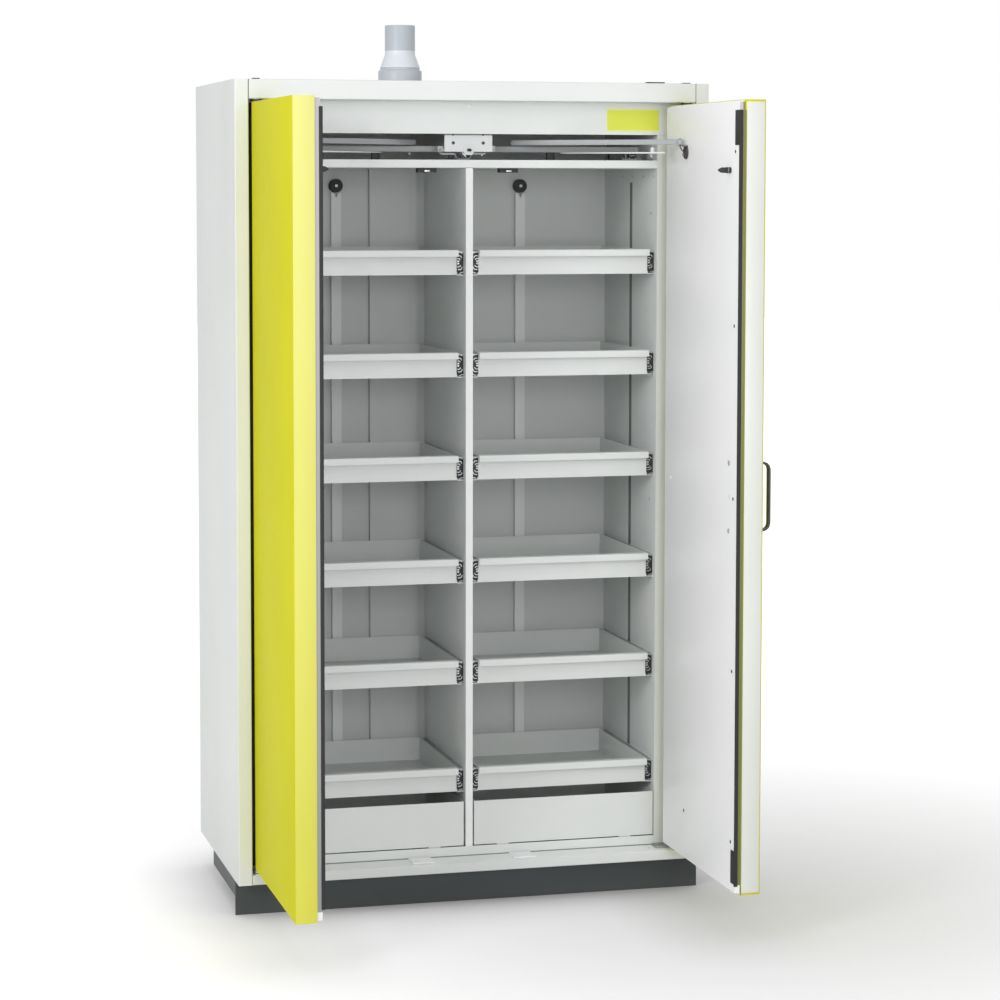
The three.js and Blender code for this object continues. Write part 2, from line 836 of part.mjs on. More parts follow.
// Guide rail: one channel, open upwards, on four feet that stand on the ceiling plate
const guideHalf = liningHalf - guideFromWall;
const guideFront = armTipY - guideDepth / 2;
const guideRear = guideFront + guideDepth;
const guidePath = [
  [guideFront, guideBottom + guideHeight],
  [guideFront, guideBottom],
  [guideRear, guideBottom],
  [guideRear, guideBottom + guideHeight],
];
const guideChannel = across(foldedSheet(guidePath, guideSheet, 0), -guideHalf, guideHalf);
const guideFootStarts = [guideFootFromMiddle, guideHalf - guideFootWidth];
const guideFeet = [-1, 1].flatMap((side) => guideFootStarts.map((start) => block(
  side * start, side * (start + guideFootWidth), guideRear - guideSheet, guideRear,
  ceilingUnderside + liningSheet + seam, guideBottom + guideHeight,
)));
place(cabinet, 'closer_guide_rail', join(guideChannel, ...guideFeet), brightSteel);

// Release block with its tee pin and strip, on the ceiling plate at the right
const releaseLow = ceilingUnderside + liningSheet + seam;
const releaseFloor = ceilingTop;
const releaseRight = liningHalf - releaseFromWall;
const releaseLeft = releaseRight - releaseLength;
const releaseRear = releaseFront + releaseDepth;
const releasePinX = releaseLeft + releaseBlockWidth + releasePinGap;
const releaseMiddle = (releaseFront + releaseRear) / 2;
const releaseTop = releaseFloor + releasePinHeight;
const releaseBody = join(
  block(releaseLeft, releaseRight, releaseFront, releaseRear, releaseLow, releaseFloor + releaseBase),
  block(
    releaseLeft, releaseLeft + releaseBlockWidth, releaseFront, releaseRear,
    releaseLow, releaseFloor + releaseBlockHeight,
  ),
  rod(releasePinX, releaseMiddle, releaseFloor, releaseTop, releasePinRadius),
  rodAcross(
    releaseMiddle, releaseTop, releasePinX - releaseTeeHalf, releasePinX + releaseTeeHalf,
    releaseTeeHeight / 2,
  ),
);
place(cabinet, 'closer_release', releaseBody, gunMetal);

// Ceiling catches under the front edge of the ceiling plate
function ceilingCatch(side) {
  const low = ceilingUnderside - seam - catchHeight;
  const high = ceilingUnderside - seam;
  const middle = catchInner + catchWidth / 2;
  return cut(
    block(
      side * catchInner, side * (catchInner + catchWidth),
      catchFront, catchFront + catchDepth, low, high,
    ),
    block(
      side * (middle - catchSlotWidth / 2), side * (middle + catchSlotWidth / 2),
      catchFront - overrun, catchFront + catchDepth / 2, low - overrun, low + catchSlotHeight,
    ),
  );
}

place(cabinet, 'left_ceiling_catch', ceilingCatch(-1), rubberBlack);
place(cabinet, 'right_ceiling_catch', ceilingCatch(1), rubberBlack);

// Sill plates: flat keeps with chamfered sides
function sillPlate(side) {
  const half = sillPlateWidth / 2;
  const low = sillTop + seam;
  const high = low + sillPlateHeight;
  const outline = [
    [side * sillPlateCentre - half, low],
    [side * sillPlateCentre + half, low],
    [side * sillPlateCentre + half, high - sillPlateChamfer],
    [side * sillPlateCentre + half - sillPlateChamfer, high],
    [side * sillPlateCentre - half + sillPlateChamfer, high],
    [side * sillPlateCentre - half, high - sillPlateChamfer],
  ];
  return rearward(outline, sillPlateFront, sillPlateFront + sillPlateDepth);
}

place(cabinet, 'left_sill_plate', sillPlate(-1), plateWhite);
place(cabinet, 'right_sill_plate', sillPlate(1), plateWhite);

// Plinth: front panel to the floor, shorter skirts along the sides
const plinthHalf = halfWidth - plinthInset;
const plinthTop = plinthHeight - seam;
const skirtRear = cabinetDepth - skirtFromRear;
const plinthPath = [
  [-plinthHalf, skirtRear],
  [-plinthHalf, plinthFront],
  [plinthHalf, plinthFront],
  [plinthHalf, skirtRear],
];
const skirts = upright(foldedSheet(plinthPath, plinthSheet), plinthTop - skirtHeight, plinthTop);
const frontPanel = block(
  -plinthHalf + foldInside + plinthSheet, plinthHalf - foldInside - plinthSheet,
  plinthFront, plinthFront + plinthSheet, 0, plinthTop,
);
const panelEnds = [-1, 1].map((side) => block(
  side * (plinthHalf - foldInside - plinthSheet - weld), side * plinthHalf,
  plinthFront, plinthFront + plinthSheet, 0, plinthTop - skirtHeight,
));
place(cabinet, 'plinth', join(skirts, frontPanel, ...panelEnds), plinthGrey);

// Levelling feet under the base
const footProfile = [
  [0, 0],
  [footPadRadius, 0],
  [footPadRadius, footPadHeight],
  [footStemRadius, footPadHeight + footConeHeight],
  [footStemRadius, plinthTop - footFlangeHeight],
  [footFlangeRadius, plinthTop - footFlangeHeight],
  [footFlangeRadius, plinthTop],
  [0, plinthTop],
];
const sideNames = { '-1': 'left', 1: 'right' };
[-1, 1].forEach((side) => {
  const footX = side * (halfWidth - footInset);
  const foot = (y) => turned(footProfile).translate([footX, y, 0]);
  place(cabinet, `${sideNames[side]}_front_foot`, foot(footFront), rubberBlack);
  place(cabinet, `${sideNames[side]}_rear_foot`, foot(cabinetDepth - footFromRear), rubberBlack);
});

// Doors, each drawn closed with its pivot at the origin and its width along x, then turned open

// Outline of a door's case, drawn in from every outer face by an inset
function doorOutline(inset, innerFace) {
  const hinge = -pivotFromEdge + inset;
  const face = -pivotFromFace + inset;
  const free = doorFree - inset;
  const radius = hingeRound - inset;
  const points = [[free, innerFace], [free, face]];
  for (let k = 0; k <= hingeRoundSteps; k += 1) {
    const angle = (-Math.PI / 2) * (1 + k / hingeRoundSteps);
    points.push([hinge + radius + radius * Math.cos(angle), face + radius + radius * Math.sin(angle)]);
  }
  points.push([hinge, innerFace]);
  return points;
}

const caseInside = caseDepth - pivotFromFace;
const boreEnd = pinEngagement + seam + seam;
const pinBores = join(
  rod(0, 0, doorBottom - overrun, doorBottom + boreEnd, boreRadius),
  rod(0, 0, doorTop - boreEnd, doorTop + overrun, boreRadius),
);

// Outer case: a yellow pan, open towards the cabinet
function doorCase(side) {
  const shell = upright(mirrored(doorOutline(0, caseInside), -side), doorBottom, doorTop);
  const hollow = upright(
    mirrored(doorOutline(caseSheet, caseInside + overrun), -side),
    doorBottom + caseSheet, doorTop - caseSheet,
  );
  return cut(shell, hollow, pinBores);
}

// Inner panel: the board that fills the case, with the stepped white face over it
function doorPanel(side) {
  const inset = caseSheet + seam;
  const core = upright(
    mirrored(doorOutline(inset, caseInside + seam + weld), -side), doorBottom + inset, doorTop - inset,
  );
  const start = stepFromHinge - pivotFromEdge;
  const step = block(
    -side * start, -side * (doorFree - stepFromFree), caseInside + seam, panelFace,
    doorBottom + stepFromEnds, doorTop - stepFromEnds,
  );
  return cut(join(core, step), pinBores);
}

// Seal: a narrow strip with a wider pad at each end
function doorSeal(side) {
  const edge = doorFree - sealFromFree;
  const low = doorBottom + sealFromBottom;
  const high = doorTop - sealFromTop;
  const outline = [
    [edge, low],
    [edge, high],
    [edge - sealPadWidth, high],
    [edge - sealPadWidth, high - sealPadHeight],
    [edge - sealWidth, high - sealPadHeight],
    [edge - sealWidth, low + sealPadHeight],
    [edge - sealPadWidth, low + sealPadHeight],
    [edge - sealPadWidth, low],
  ];
  return rearward(mirrored(outline, -side), panelFace + seam, panelFace + seam + sealDepth);
}

// Peg: a turned rubber stud with a flange against the panel
function doorPeg(side) {
  const profile = [
    [0, 0],
    [pegBaseRadius, 0],
    [pegBaseRadius, pegBaseDepth],
    [pegRadius, pegBaseDepth],
    [pegRadius, pegLength - pegTaper],
    [pegTipRadius, pegLength],
    [0, pegLength],
  ];
  const stud = turned(profile).rotate([-90, 0, 0]);
  return stud.translate([-side * (doorFree - pegFromFree), panelFace + seam, doorTop - pegFromTop]);
}

// Arm bracket: a plate on the inner face with a tongue and an upright pin for the arm's eye
function armBracket(side) {
  const x = -side * armPivotAlong;
  const pivotY = panelFace + armPivotOut;
  const back = panelFace + seam;
  const top = armBottom - bracketUnderArm;
  const plate = rodRearward(x, top - bracketPlateRadius, back, back + bracketPlate, bracketPlateRadius);
  const tongue = join(
    block(
      x - bracketTongueRadius, x + bracketTongueRadius, back, pivotY,
      top - bracketTongueHeight, top,
    ),
    rod(x, pivotY, top - bracketTongueHeight, top, bracketTongueRadius),
  );
  return join(
    plate,
    tongue,
    rod(x, pivotY, top - weld, armBottom - seam, bracketCollarRadius),
    rod(x, pivotY, top - weld, armBottom + armHeight + armPinOverArm, armPinRadius),
  );
}

// Handle: a flat bar swept along a bow with rounded corners
function doorHandle(side) {
  const face = -pivotFromFace - seam;
  const out = face - handleReach + handleBar / 2;
  const low = handleLow + handleBar / 2;
  const high = handleLow + handleLength - handleBar / 2;
  const point = (y, z) => new THREE.Vector3(0, y, z);
  const bow = new THREE.CurvePath();
  bow.add(new THREE.LineCurve3(point(face, low), point(out + handleCorner, low)));
  bow.add(new THREE.QuadraticBezierCurve3(
    point(out + handleCorner, low), point(out, low), point(out, low + handleCorner),
  ));
  bow.add(new THREE.LineCurve3(point(out, low + handleCorner), point(out, high - handleCorner)));
  bow.add(new THREE.QuadraticBezierCurve3(
    point(out, high - handleCorner), point(out, high), point(out + handleCorner, high),
  ));
  bow.add(new THREE.LineCurve3(point(out + handleCorner, high), point(face, high)));
  const bar = shapeOf([
    [-handleBar / 2, -handleWidth / 2],
    [handleBar / 2, -handleWidth / 2],
    [handleBar / 2, handleWidth / 2],
    [-handleBar / 2, handleWidth / 2],
  ]);
  const geometry = new THREE.ExtrudeGeometry(bar, { steps: handleSteps, extrudePath: bow });
  return solidFrom(geometry).translate([-side * (doorFree - handleFromFree), 0, 0]);
}

// Cover strip over the free edge of the right door
function edgeCover(side) {
  const start = doorFree + seam;
  const front = -pivotFromFace + coverFromFace;
  return block(
    -side * start, -side * (start + coverThickness), front, front + coverWidth,
    doorBottom + coverFromEnds, doorTop - coverFromEnds,
  );
}

// Closer arm: a flat bar on edge, from its eye on the door bracket to a rounded tip over the guide rail
function closerArm() {
  const top = armBottom + armHeight;
  const bar = join(
    block(0, armLength, -armThickness / 2, armThickness / 2, armBottom, top),
    rod(0, 0, armBottom, top, armEyeRadius),
    rodRearward(armLength, armBottom + armHeight / 2, -armThickness / 2, armThickness / 2, armHeight / 2),
  );
  return cut(bar, rod(0, 0, armBottom - overrun, top + overrun, armPinRadius + armPinClearance));
}

[-1, 1].forEach((side) => {
  const name = sideNames[side];
  const door = new THREE.Group();
  door.position.set(side * hingeX, hingeY, 0);
  door.rotation.z = (side * Math.PI) / 2;
  cabinet.add(door);
  place(door, `${name}_door_case`, doorCase(side), limeYellow);
  place(door, `${name}_door_panel`, doorPanel(side), doorWhite);
  place(door, `${name}_door_seal`, doorSeal(side), sealBlack);
  place(door, `${name}_door_peg`, doorPeg(side), rubberBlack);
  place(door, `${name}_arm_bracket`, armBracket(side), gunMetal);
  if (side === 1) {
    place(door, `${name}_door_handle`, doorHandle(side), gunMetal);
    place(door, `${name}_door_edge_cover`, edgeCover(side), doorWhite);
  }
  const arm = new THREE.Group();
  const pivotY = panelFace + armPivotOut;
  arm.position.set(side * (hingeX - pivotY), hingeY - armPivotAlong, 0);
  arm.rotation.z = side < 0 ? armSlant : Math.PI - armSlant;
  cabinet.add(arm);
  place(arm, `${name}_closer_arm`, closerArm(), plateWhite);
});

export default cabinet;
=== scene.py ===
import math
import bmesh
import bpy
from mathutils import Matrix, Vector


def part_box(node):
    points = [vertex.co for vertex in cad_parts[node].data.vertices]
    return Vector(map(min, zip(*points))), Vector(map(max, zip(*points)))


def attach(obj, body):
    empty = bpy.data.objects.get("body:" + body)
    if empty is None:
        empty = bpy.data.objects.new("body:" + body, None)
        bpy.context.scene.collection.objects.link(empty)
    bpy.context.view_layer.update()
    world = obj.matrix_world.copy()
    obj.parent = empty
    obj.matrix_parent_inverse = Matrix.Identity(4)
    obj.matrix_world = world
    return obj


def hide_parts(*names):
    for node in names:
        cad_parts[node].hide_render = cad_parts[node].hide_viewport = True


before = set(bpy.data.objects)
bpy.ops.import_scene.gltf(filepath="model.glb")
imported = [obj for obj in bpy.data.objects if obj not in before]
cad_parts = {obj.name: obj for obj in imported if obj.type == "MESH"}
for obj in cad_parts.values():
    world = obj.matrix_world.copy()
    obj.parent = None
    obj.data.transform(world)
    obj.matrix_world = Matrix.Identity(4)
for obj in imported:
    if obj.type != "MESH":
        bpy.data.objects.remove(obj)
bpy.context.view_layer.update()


# Studio: a pale floor that takes the cabinet's shadow, three soft lamps and an even sky.
# The floor and the sky show white to the camera and to shiny faces, and the floor keeps its real
# shadow;
# its glow is painted shadow, dimmer around a point right of the cabinet and close to its foot.
floor_half = 30
floor_level = -0.0005
shape = bmesh.new()
bmesh.ops.create_grid(shape, x_segments=1, y_segments=1, size=floor_half)
bmesh.ops.translate(shape, vec=(0, 0, floor_level), verts=shape.verts)
floor_mesh = bpy.data.meshes.new("studio_floor")
shape.to_mesh(floor_mesh)
shape.free()
studio_floor = bpy.data.objects.new("studio_floor", floor_mesh)
bpy.context.scene.collection.objects.link(studio_floor)


def seen_plainly(links, nodes, lit, plain, output):
    """The plain look for rays straight from the camera and off shiny or clear faces."""
    ray = nodes.new("ShaderNodeLightPath")
    shiny = nodes.new("ShaderNodeMath")
    shiny.operation = "MAXIMUM"
    either = nodes.new("ShaderNodeMath")
    either.operation = "MAXIMUM"
    links.new(ray.outputs["Is Glossy Ray"], shiny.inputs[0])
    links.new(ray.outputs["Is Transmission Ray"], shiny.inputs[1])
    links.new(ray.outputs["Is Camera Ray"], either.inputs[0])
    links.new(shiny.outputs[0], either.inputs[1])
    choice = nodes.new("ShaderNodeMixShader")
    links.new(either.outputs[0], choice.inputs[0])
    links.new(lit.outputs[0], choice.inputs[1])
    links.new(plain.outputs[0], choice.inputs[2])
    links.new(choice.outputs[0], output)


# Painted shadow: the floor's glow is weakest at shadow_middle and is darkened by ambient occlusion
# near the cabinet.
shadow_middle = (0.55, -0.15, 0)
shadow_reach = 2.6
glow_in_shadow = 0.34
glow_far_off = 0.98
contact_reach = 0.25
floor_paint = bpy.data.materials.new("studio_floor")
floor_paint.use_nodes = True
floor_nodes = floor_paint.node_tree.nodes
floor_links = floor_paint.node_tree.links
floor_lit = floor_nodes["Principled BSDF"]
floor_lit.inputs["Base Color"].default_value = (0.86, 0.86, 0.86, 1)
floor_lit.inputs["Roughness"].default_value = 0.8
floor_shade = floor_nodes.new("ShaderNodeBsdfDiffuse")
floor_shade.inputs["Color"].default_value = (0.45, 0.45, 0.45, 1)
floor_glow = floor_nodes.new("ShaderNodeEmission")
floor_place = floor_nodes.new("ShaderNodeTexCoord")
floor_reach = floor_nodes.new("ShaderNodeVectorMath")
floor_reach.operation = "DISTANCE"
floor_reach.inputs[1].default_value = shadow_middle
painted_shadow_fade = floor_nodes.new("ShaderNodeMapRange")
painted_shadow_fade.inputs["From Min"].default_value = 0.0
painted_shadow_fade.inputs["From Max"].default_value = shadow_reach
painted_shadow_fade.inputs["To Min"].default_value = glow_in_shadow
painted_shadow_fade.inputs["To Max"].default_value = glow_far_off
painted_contact_shadow = floor_nodes.new("ShaderNodeAmbientOcclusion")
painted_contact_shadow.inputs["Distance"].default_value = contact_reach
floor_strength = floor_nodes.new("ShaderNodeMath")
floor_strength.operation = "MULTIPLY"
floor_links.new(floor_place.outputs["Object"], floor_reach.inputs[0])
floor_links.new(floor_reach.outputs["Value"], painted_shadow_fade.inputs[0])
floor_links.new(painted_shadow_fade.outputs[0], floor_strength.inputs[0])
floor_links.new(painted_contact_shadow.outputs["AO"], floor_strength.inputs[1])
floor_links.new(floor_strength.outputs[0], floor_glow.inputs["Strength"])
floor_plain = floor_nodes.new("ShaderNodeAddShader")
floor_links.new(floor_shade.outputs[0], floor_plain.inputs[0])
floor_links.new(floor_glow.outputs[0], floor_plain.inputs[1])
seen_plainly(
    floor_links, floor_nodes, floor_lit, floor_plain,
    floor_nodes["Material Output"].inputs["Surface"],
)
studio_floor.data.materials.append(floor_paint)


def soft_lamp(name, place, aim, width, height, power):
    """A soft box with its light towards aim; metres and watts."""
    lamp = bpy.data.lights.new(name, "AREA")
    lamp.shape = "RECTANGLE"
    lamp.size = width
    lamp.size_y = height
    lamp.energy = power
    made = bpy.data.objects.new(name, lamp)
    made.location = place
    made.rotation_euler = (Vector(aim) - Vector(place)).to_track_quat("-Z", "Y").to_euler()
    bpy.context.scene.collection.objects.link(made)


soft_lamp("lamp_overhead", (-0.4, -2.4, 4.4), (0, 0, 0.9), width=3.6, height=3.0, power=24)
soft_lamp("lamp_left", (-3.9, -3.3, 2.7), (0.1, 0, 1.3), width=1.5, height=1.5, power=98)
soft_lamp("lamp_front", (-0.1, -6.0, 2.0), (0, 0, 1.4), width=2.0, height=1.6, power=69)

sky_strength = 0.46
sky = bpy.data.worlds.new("studio_sky")
bpy.context.scene.world = sky
sky.use_nodes = True
sky_nodes = sky.node_tree.nodes
sky_light = sky_nodes["Background"]
sky_light.inputs["Color"].default_value = (1, 1, 1, 1)
sky_light.inputs["Strength"].default_value = sky_strength
sky_plain = sky_nodes.new("ShaderNodeBackground")
sky_plain.inputs["Color"].default_value = (1, 1, 1, 1)
sky_plain.inputs["Strength"].default_value = 1.0
seen_plainly(
    sky.node_tree.links, sky_nodes, sky_light, sky_plain,
    sky_nodes["World Output"].inputs["Surface"],
)
bpy.context.scene.view_settings.view_transform = "Standard"


# Camera: the photograph's lens and place, found from the corners of the casing and the doors.
# The lens is shifted by a tenth of the frame, which puts the cabinet where the photograph has it.
picture_pixels = 1000
sensor_width = 36
lens_pixels = 2820.5
lens_shift = -0.0993
eye = Vector((-1.7104, -6.7633, 1.7901))
yaw = math.radians(14.753)
pitch = math.radians(4.325)
roll = math.radians(0.074)
ahead = Vector((
    math.sin(yaw) * math.cos(pitch), math.cos(yaw) * math.cos(pitch), -math.sin(pitch),
))
level = Vector((math.cos(yaw), -math.sin(yaw), 0))
rise = level.cross(ahead)
right = level * math.cos(roll) + rise * math.sin(roll)
up = rise * math.cos(roll) - level * math.sin(roll)
camera = bpy.data.objects.new("camera", bpy.data.cameras.new("camera"))
camera.data.sensor_width = sensor_width
camera.data.lens = lens_pixels * sensor_width / picture_pixels
camera.data.shift_y = lens_shift
camera.data.clip_start = 0.1
camera.data.clip_end = 100
camera.matrix_world = Matrix((
    (right.x, up.x, -ahead.x, eye.x),
    (right.y, up.y, -ahead.y, eye.y),
    (right.z, up.z, -ahead.z, eye.z),
    (0, 0, 0, 1),
))
bpy.context.scene.collection.objects.link(camera)
bpy.context.scene.camera = camera


# Casing: folded steel sheet, zinc-coated and powder-coated in a pale, slightly cool white.
# The powder flows out to a fine orange-peel skin, a touch thinner here and there. The top of the
# sill is painted paler in soft patches, a painted highlight where light falls on it.
class Grain:
    """One value over a surface, as the socket of a node; sums on it become nodes."""

    def __init__(self, tree, socket):
        self.tree = tree
        self.socket = socket

    def node(self, kind, settings, sockets, output=0):
        made = self.tree.nodes.new(kind)
        for name, value in settings.items():
            setattr(made, name, value)
        for name, value in sockets.items():
            if isinstance(value, Grain):
                self.tree.links.new(value.socket, made.inputs[name])
            else:
                made.inputs[name].default_value = value
        return Grain(self.tree, made.outputs[output])

    def maths(self, operation, first, second):
        return self.node("ShaderNodeMath", {"operation": operation}, {0: first, 1: second})

    def __add__(self, other):
        return self.maths("ADD", self, other)

    def __radd__(self, other):
        return self.maths("ADD", other, self)

    def __sub__(self, other):
        return self.maths("SUBTRACT", self, other)

    def __rsub__(self, other):
        return self.maths("SUBTRACT", other, self)

    def __mul__(self, other):
        return self.maths("MULTIPLY", self, other)

    def __rmul__(self, other):
        return self.maths("MULTIPLY", other, self)

    def __gt__(self, other):
        return self.maths("GREATER_THAN", self, other)

    def __lt__(self, other):
        return self.maths("LESS_THAN", self, other)

    def size(self):
        return self.maths("ABSOLUTE", self, 0.0)

    def parts(self):
        return [self.node("ShaderNodeSeparateXYZ", {}, {0: self}, k) for k in range(3)]

    def cloud(self, scale, detail, stretch=(1, 1, 1), shift=(0, 0, 0)):
        """Soft noise from 0 to 1, in so many blots to the metre."""
        placed = self.node("ShaderNodeMapping", {}, {0: self, "Scale": stretch, "Location": shift})
        return self.node(
            "ShaderNodeTexNoise", {}, {"Vector": placed, "Scale": scale, "Detail": detail},
        )

    def spread(self, low, high, start=0.0, end=1.0):
        """The start value below low, the end value above high, and even in between."""
        return self.node(
            "ShaderNodeMapRange", {}, {0: self, 1: low, 2: high, 3: start, 4: end},
        )

    def tint(self, first, second):
        """A colour between two colours, by this value."""
        return self.node(
            "ShaderNodeMix", {"data_type": "RGBA"}, {0: self, 6: first, 7: second}, 2,
        )


def rgb(code):
    """A display colour, such as D7DAD8, as the linear colour that a shader takes."""
    parts = [int(code[k:k + 2], 16) / 255 for k in (0, 2, 4)]
    return (*[p / 12.92 if p < 0.04045 else ((p + 0.055) / 1.055) ** 2.4 for p in parts], 1.0)


def new_finish(name, **constants):
    """A material with its constant shader values, and the place on the object."""
    material = bpy.data.materials.new(name)
    material.use_nodes = True
    shader = material.node_tree.nodes["Principled BSDF"]
    for socket, value in constants.items():
        shader.inputs[socket.replace("_", " ")].default_value = value
    coordinates = material.node_tree.nodes.new("ShaderNodeTexCoord")
    return material, Grain(material.node_tree, coordinates.outputs["Object"])


def feed(material, colour, roughness, relief, depth):
    """Links what varies over the surface; relief is a height from 0 to 1, depth metres deep."""
    tree = material.node_tree
    shader = tree.nodes["Principled BSDF"]
    tree.links.new(colour.socket, shader.inputs["Base Color"])
    tree.links.new(roughness.socket, shader.inputs["Roughness"])
    bump = tree.nodes.new("ShaderNodeBump")
    bump.inputs["Strength"].default_value = 1.0
    bump.inputs["Distance"].default_value = depth
    tree.links.new(relief.socket, bump.inputs["Height"])
    tree.links.new(bump.outputs[0], shader.inputs["Normal"])


def thin_places(place):
    """From 0 to 1, how thin the powder coat is."""
    return place.cloud(38.0, 2.0, shift=(3.1, 1.7, 0.4))


def orange_peel(place):
    """The fine relief of a powder coat, from 0 to 1."""
    return place.cloud(620.0, 1.0)


def powder_film(place, colour, shade):
    """The coat's colour: even, with soft patches and rare fine specks of the thinner shade."""
    patches = place.cloud(2.3, 3.0).spread(0.35, 0.7)
    specks = place.cloud(900.0, 0.0, shift=(0.2, 0.5, 0.9)).spread(0.74, 0.8)
    return (specks * 0.12).tint(patches.tint(rgb(colour), rgb(shade)), rgb(shade))


def powder_coat(name, colour, shade, gloss=0.42, peel=0.00003):
    """Powder coat: a colour, the shade it takes where the film is thin, and its orange peel."""
    material, place = new_finish(name, IOR=1.5)
    thin = thin_places(place)
    rough = gloss + thin.spread(0.3, 0.7, -0.05, 0.05)
    feed(material, powder_film(place, colour, shade), rough, orange_peel(place) + thin, peel)
    return material


def paint_nodes(material, names):
    for name in names:
        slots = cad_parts[name].data.materials
        slots.clear()
        slots.append(material)


casing_coat = powder_coat("casing_coat", "E6E9E7", "E0E3E1")
paint_nodes(casing_coat, [
    "left_side_casing", "right_side_casing", "top_casing", "rear_casing",
    "fascia", "apron", "ceiling_plate",
])
sill_top = 0.1095
sill_coat, place = new_finish("sill_coat", IOR=1.5)
thin = thin_places(place)
# Painted highlight: the sill's top is tinted paler in soft patches.
sill_painted_light = (place.parts()[2] > sill_top) * place.cloud(5.0, 3.0).spread(0.3, 0.7, 0.7, 1.0)
feed(
    sill_coat, sill_painted_light.tint(powder_film(place, "DFE2E0", "D9DCDA"), rgb("F4F6F4")),
    thin.spread(0.3, 0.7, 0.37, 0.47), orange_peel(place) + thin, 0.00003,
)
paint_nodes(sill_coat, ["base_casing"])


def slab(shape, low, high, edge=0.0, steps=2):
    """A block between two corners, its edges rounded by the given radius."""
    made = bmesh.ops.create_cube(shape, size=1.0)["verts"]
    bmesh.ops.scale(shape, vec=[b - a for a, b in zip(low, high)], verts=made)
    bmesh.ops.translate(shape, vec=[(a + b) / 2 for a, b in zip(low, high)], verts=made)
    if edge:
        edges = {e for v in made for e in v.link_edges}
        bmesh.ops.bevel(
            shape, geom=list(edges), offset=edge, segments=steps, profile=0.5,
            affect="EDGES", material=-1,
        )


def along(start, end):
    """The turn and the place that take a piece drawn up the z axis from start to end."""
    way = Vector(end) - Vector(start)
    return Matrix.Translation(start) @ way.to_track_quat("Z", "Y").to_matrix().to_4x4()


def turned(shape, profile, start, end, steps):
    """A profile of (radius, height) turned about the line from start towards end."""
    line = [shape.verts.new((radius, 0, height)) for radius, height in profile]
    edges = [shape.edges.new(pair) for pair in zip(line, line[1:])]
    bmesh.ops.spin(
        shape, geom=line + edges, cent=(0, 0, 0), axis=(0, 0, 1), dvec=(0, 0, 0),
        angle=math.tau, steps=steps, use_merge=True, use_duplicate=False,
    )
    found = set()
    queue = list(line)
    while queue:
        vert = queue.pop()
        if vert not in found:
            found.add(vert)
            queue.extend(e.other_vert(vert) for e in vert.link_edges)
    found = list(found)
    bmesh.ops.remove_doubles(shape, verts=found, dist=0.00001)
    found = [v for v in found if v.is_valid]
    faces = list({f for v in found for f in v.link_faces})
    bmesh.ops.recalc_face_normals(shape, faces=faces)
    bmesh.ops.transform(shape, matrix=along(start, end), verts=found)


def rounded_copy(node, radius, steps=2, sharp=50):
    """A merged copy of a node's mesh, with its sharp edges rounded."""
    shape = bmesh.new()
    shape.from_mesh(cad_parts[node].data)
    bmesh.ops.remove_doubles(shape, verts=shape.verts, dist=0.00001)
    bmesh.ops.dissolve_limit(
        shape, angle_limit=math.radians(1), verts=shape.verts, edges=shape.edges,
        use_dissolve_boundaries=False,
    )
    keen = [e for e in shape.edges if e.is_manifold and e.calc_face_angle() > math.radians(sharp)]
    bmesh.ops.bevel(
        shape, geom=keen, offset=radius, segments=steps, profile=0.5, affect="EDGES",
        material=-1, clamp_overlap=True,
    )
    bmesh.ops.recalc_face_normals(shape, faces=shape.faces)
    return shape


crease = math.radians(32)


def finished(name, shape, material, body, stands_for=()):
    """The piece as an object that rides on its body; faces meet softly below the crease angle."""
    mesh = bpy.data.meshes.new(name)
    shape.to_mesh(mesh)
    shape.free()
    mesh.polygons.foreach_set("use_smooth", [True] * len(mesh.polygons))
    mesh.set_sharp_from_angle(angle=crease)
    mesh.materials.append(material)
    made = bpy.data.objects.new(name, mesh)
    bpy.context.scene.collection.objects.link(made)
    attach(made, body)
    if stands_for:
        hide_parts(*stands_for)


# Joints: the lintel is let in between the two side casings. Grey strips in its joints and a bead
# between sill and apron are painted shade for the shadow in these seams. A rubber strip is glued to
# each jamb behind the hinges.
rubber, place = new_finish("rubber", IOR=1.5)
bloom = place.cloud(11.0, 4.0)
feed(
    rubber, bloom.spread(0.3, 0.75).tint(rgb("242425"), rgb("2F2F30")),
    bloom.spread(0.3, 0.7, 0.7, 0.84), place.cloud(1400.0, 2.0), 0.00006,
)
# Painted shade: the grey of the strips in the seams stands in for the shadow in the joints.
seam_painted_shade, place = new_finish("seam_painted_shade", IOR=1.45)
ripple = place.cloud(70.0, 3.0)
feed(
    seam_painted_shade, ripple.tint(rgb("7E8580"), rgb("6C726E")), ripple * 0.2 + 0.5,
    ripple, 0.0002,
)


def from_middle(side, near, far):
    """The lower and the upper x of what lies between two distances from the middle."""
    return sorted((side * near, side * far))


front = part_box("top_casing")[0].y
apron_low, apron_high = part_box("apron")
lintel_low, lintel_high = 1.9990, 2.0488
lintel_end, casing_side = 0.5634, 0.5652
bead_low, bead_high = 0.1101, 0.1119
seal_near, seal_far = 0.5400, 0.5642
seal_front, seal_rear = 0.0262, 0.0313
seal_low, seal_high = 0.1180, 1.9935
joints = bmesh.new()
jamb_seals = bmesh.new()
for side in (-1, 1):
    x0, x1 = from_middle(side, lintel_end, casing_side)
    slab(joints, (x0, front - 0.0004, lintel_low), (x1, front + 0.001, lintel_high), 0.0003)
    x0, x1 = from_middle(side, seal_near, seal_far)
    slab(jamb_seals, (x0, seal_front, seal_low), (x1, seal_rear, seal_high), 0.0014, 3)
# The bead along the apron's foot is painted shade for the dark line of that joint.
slab(
    joints, (apron_low.x, apron_low.y - 0.0016, bead_low),
    (apron_high.x, apron_low.y + 0.0002, bead_high), 0.0006,
)
finished("casing_joints", joints, seam_painted_shade, "casing")
finished("jamb_seals", jamb_seals, rubber, "casing")


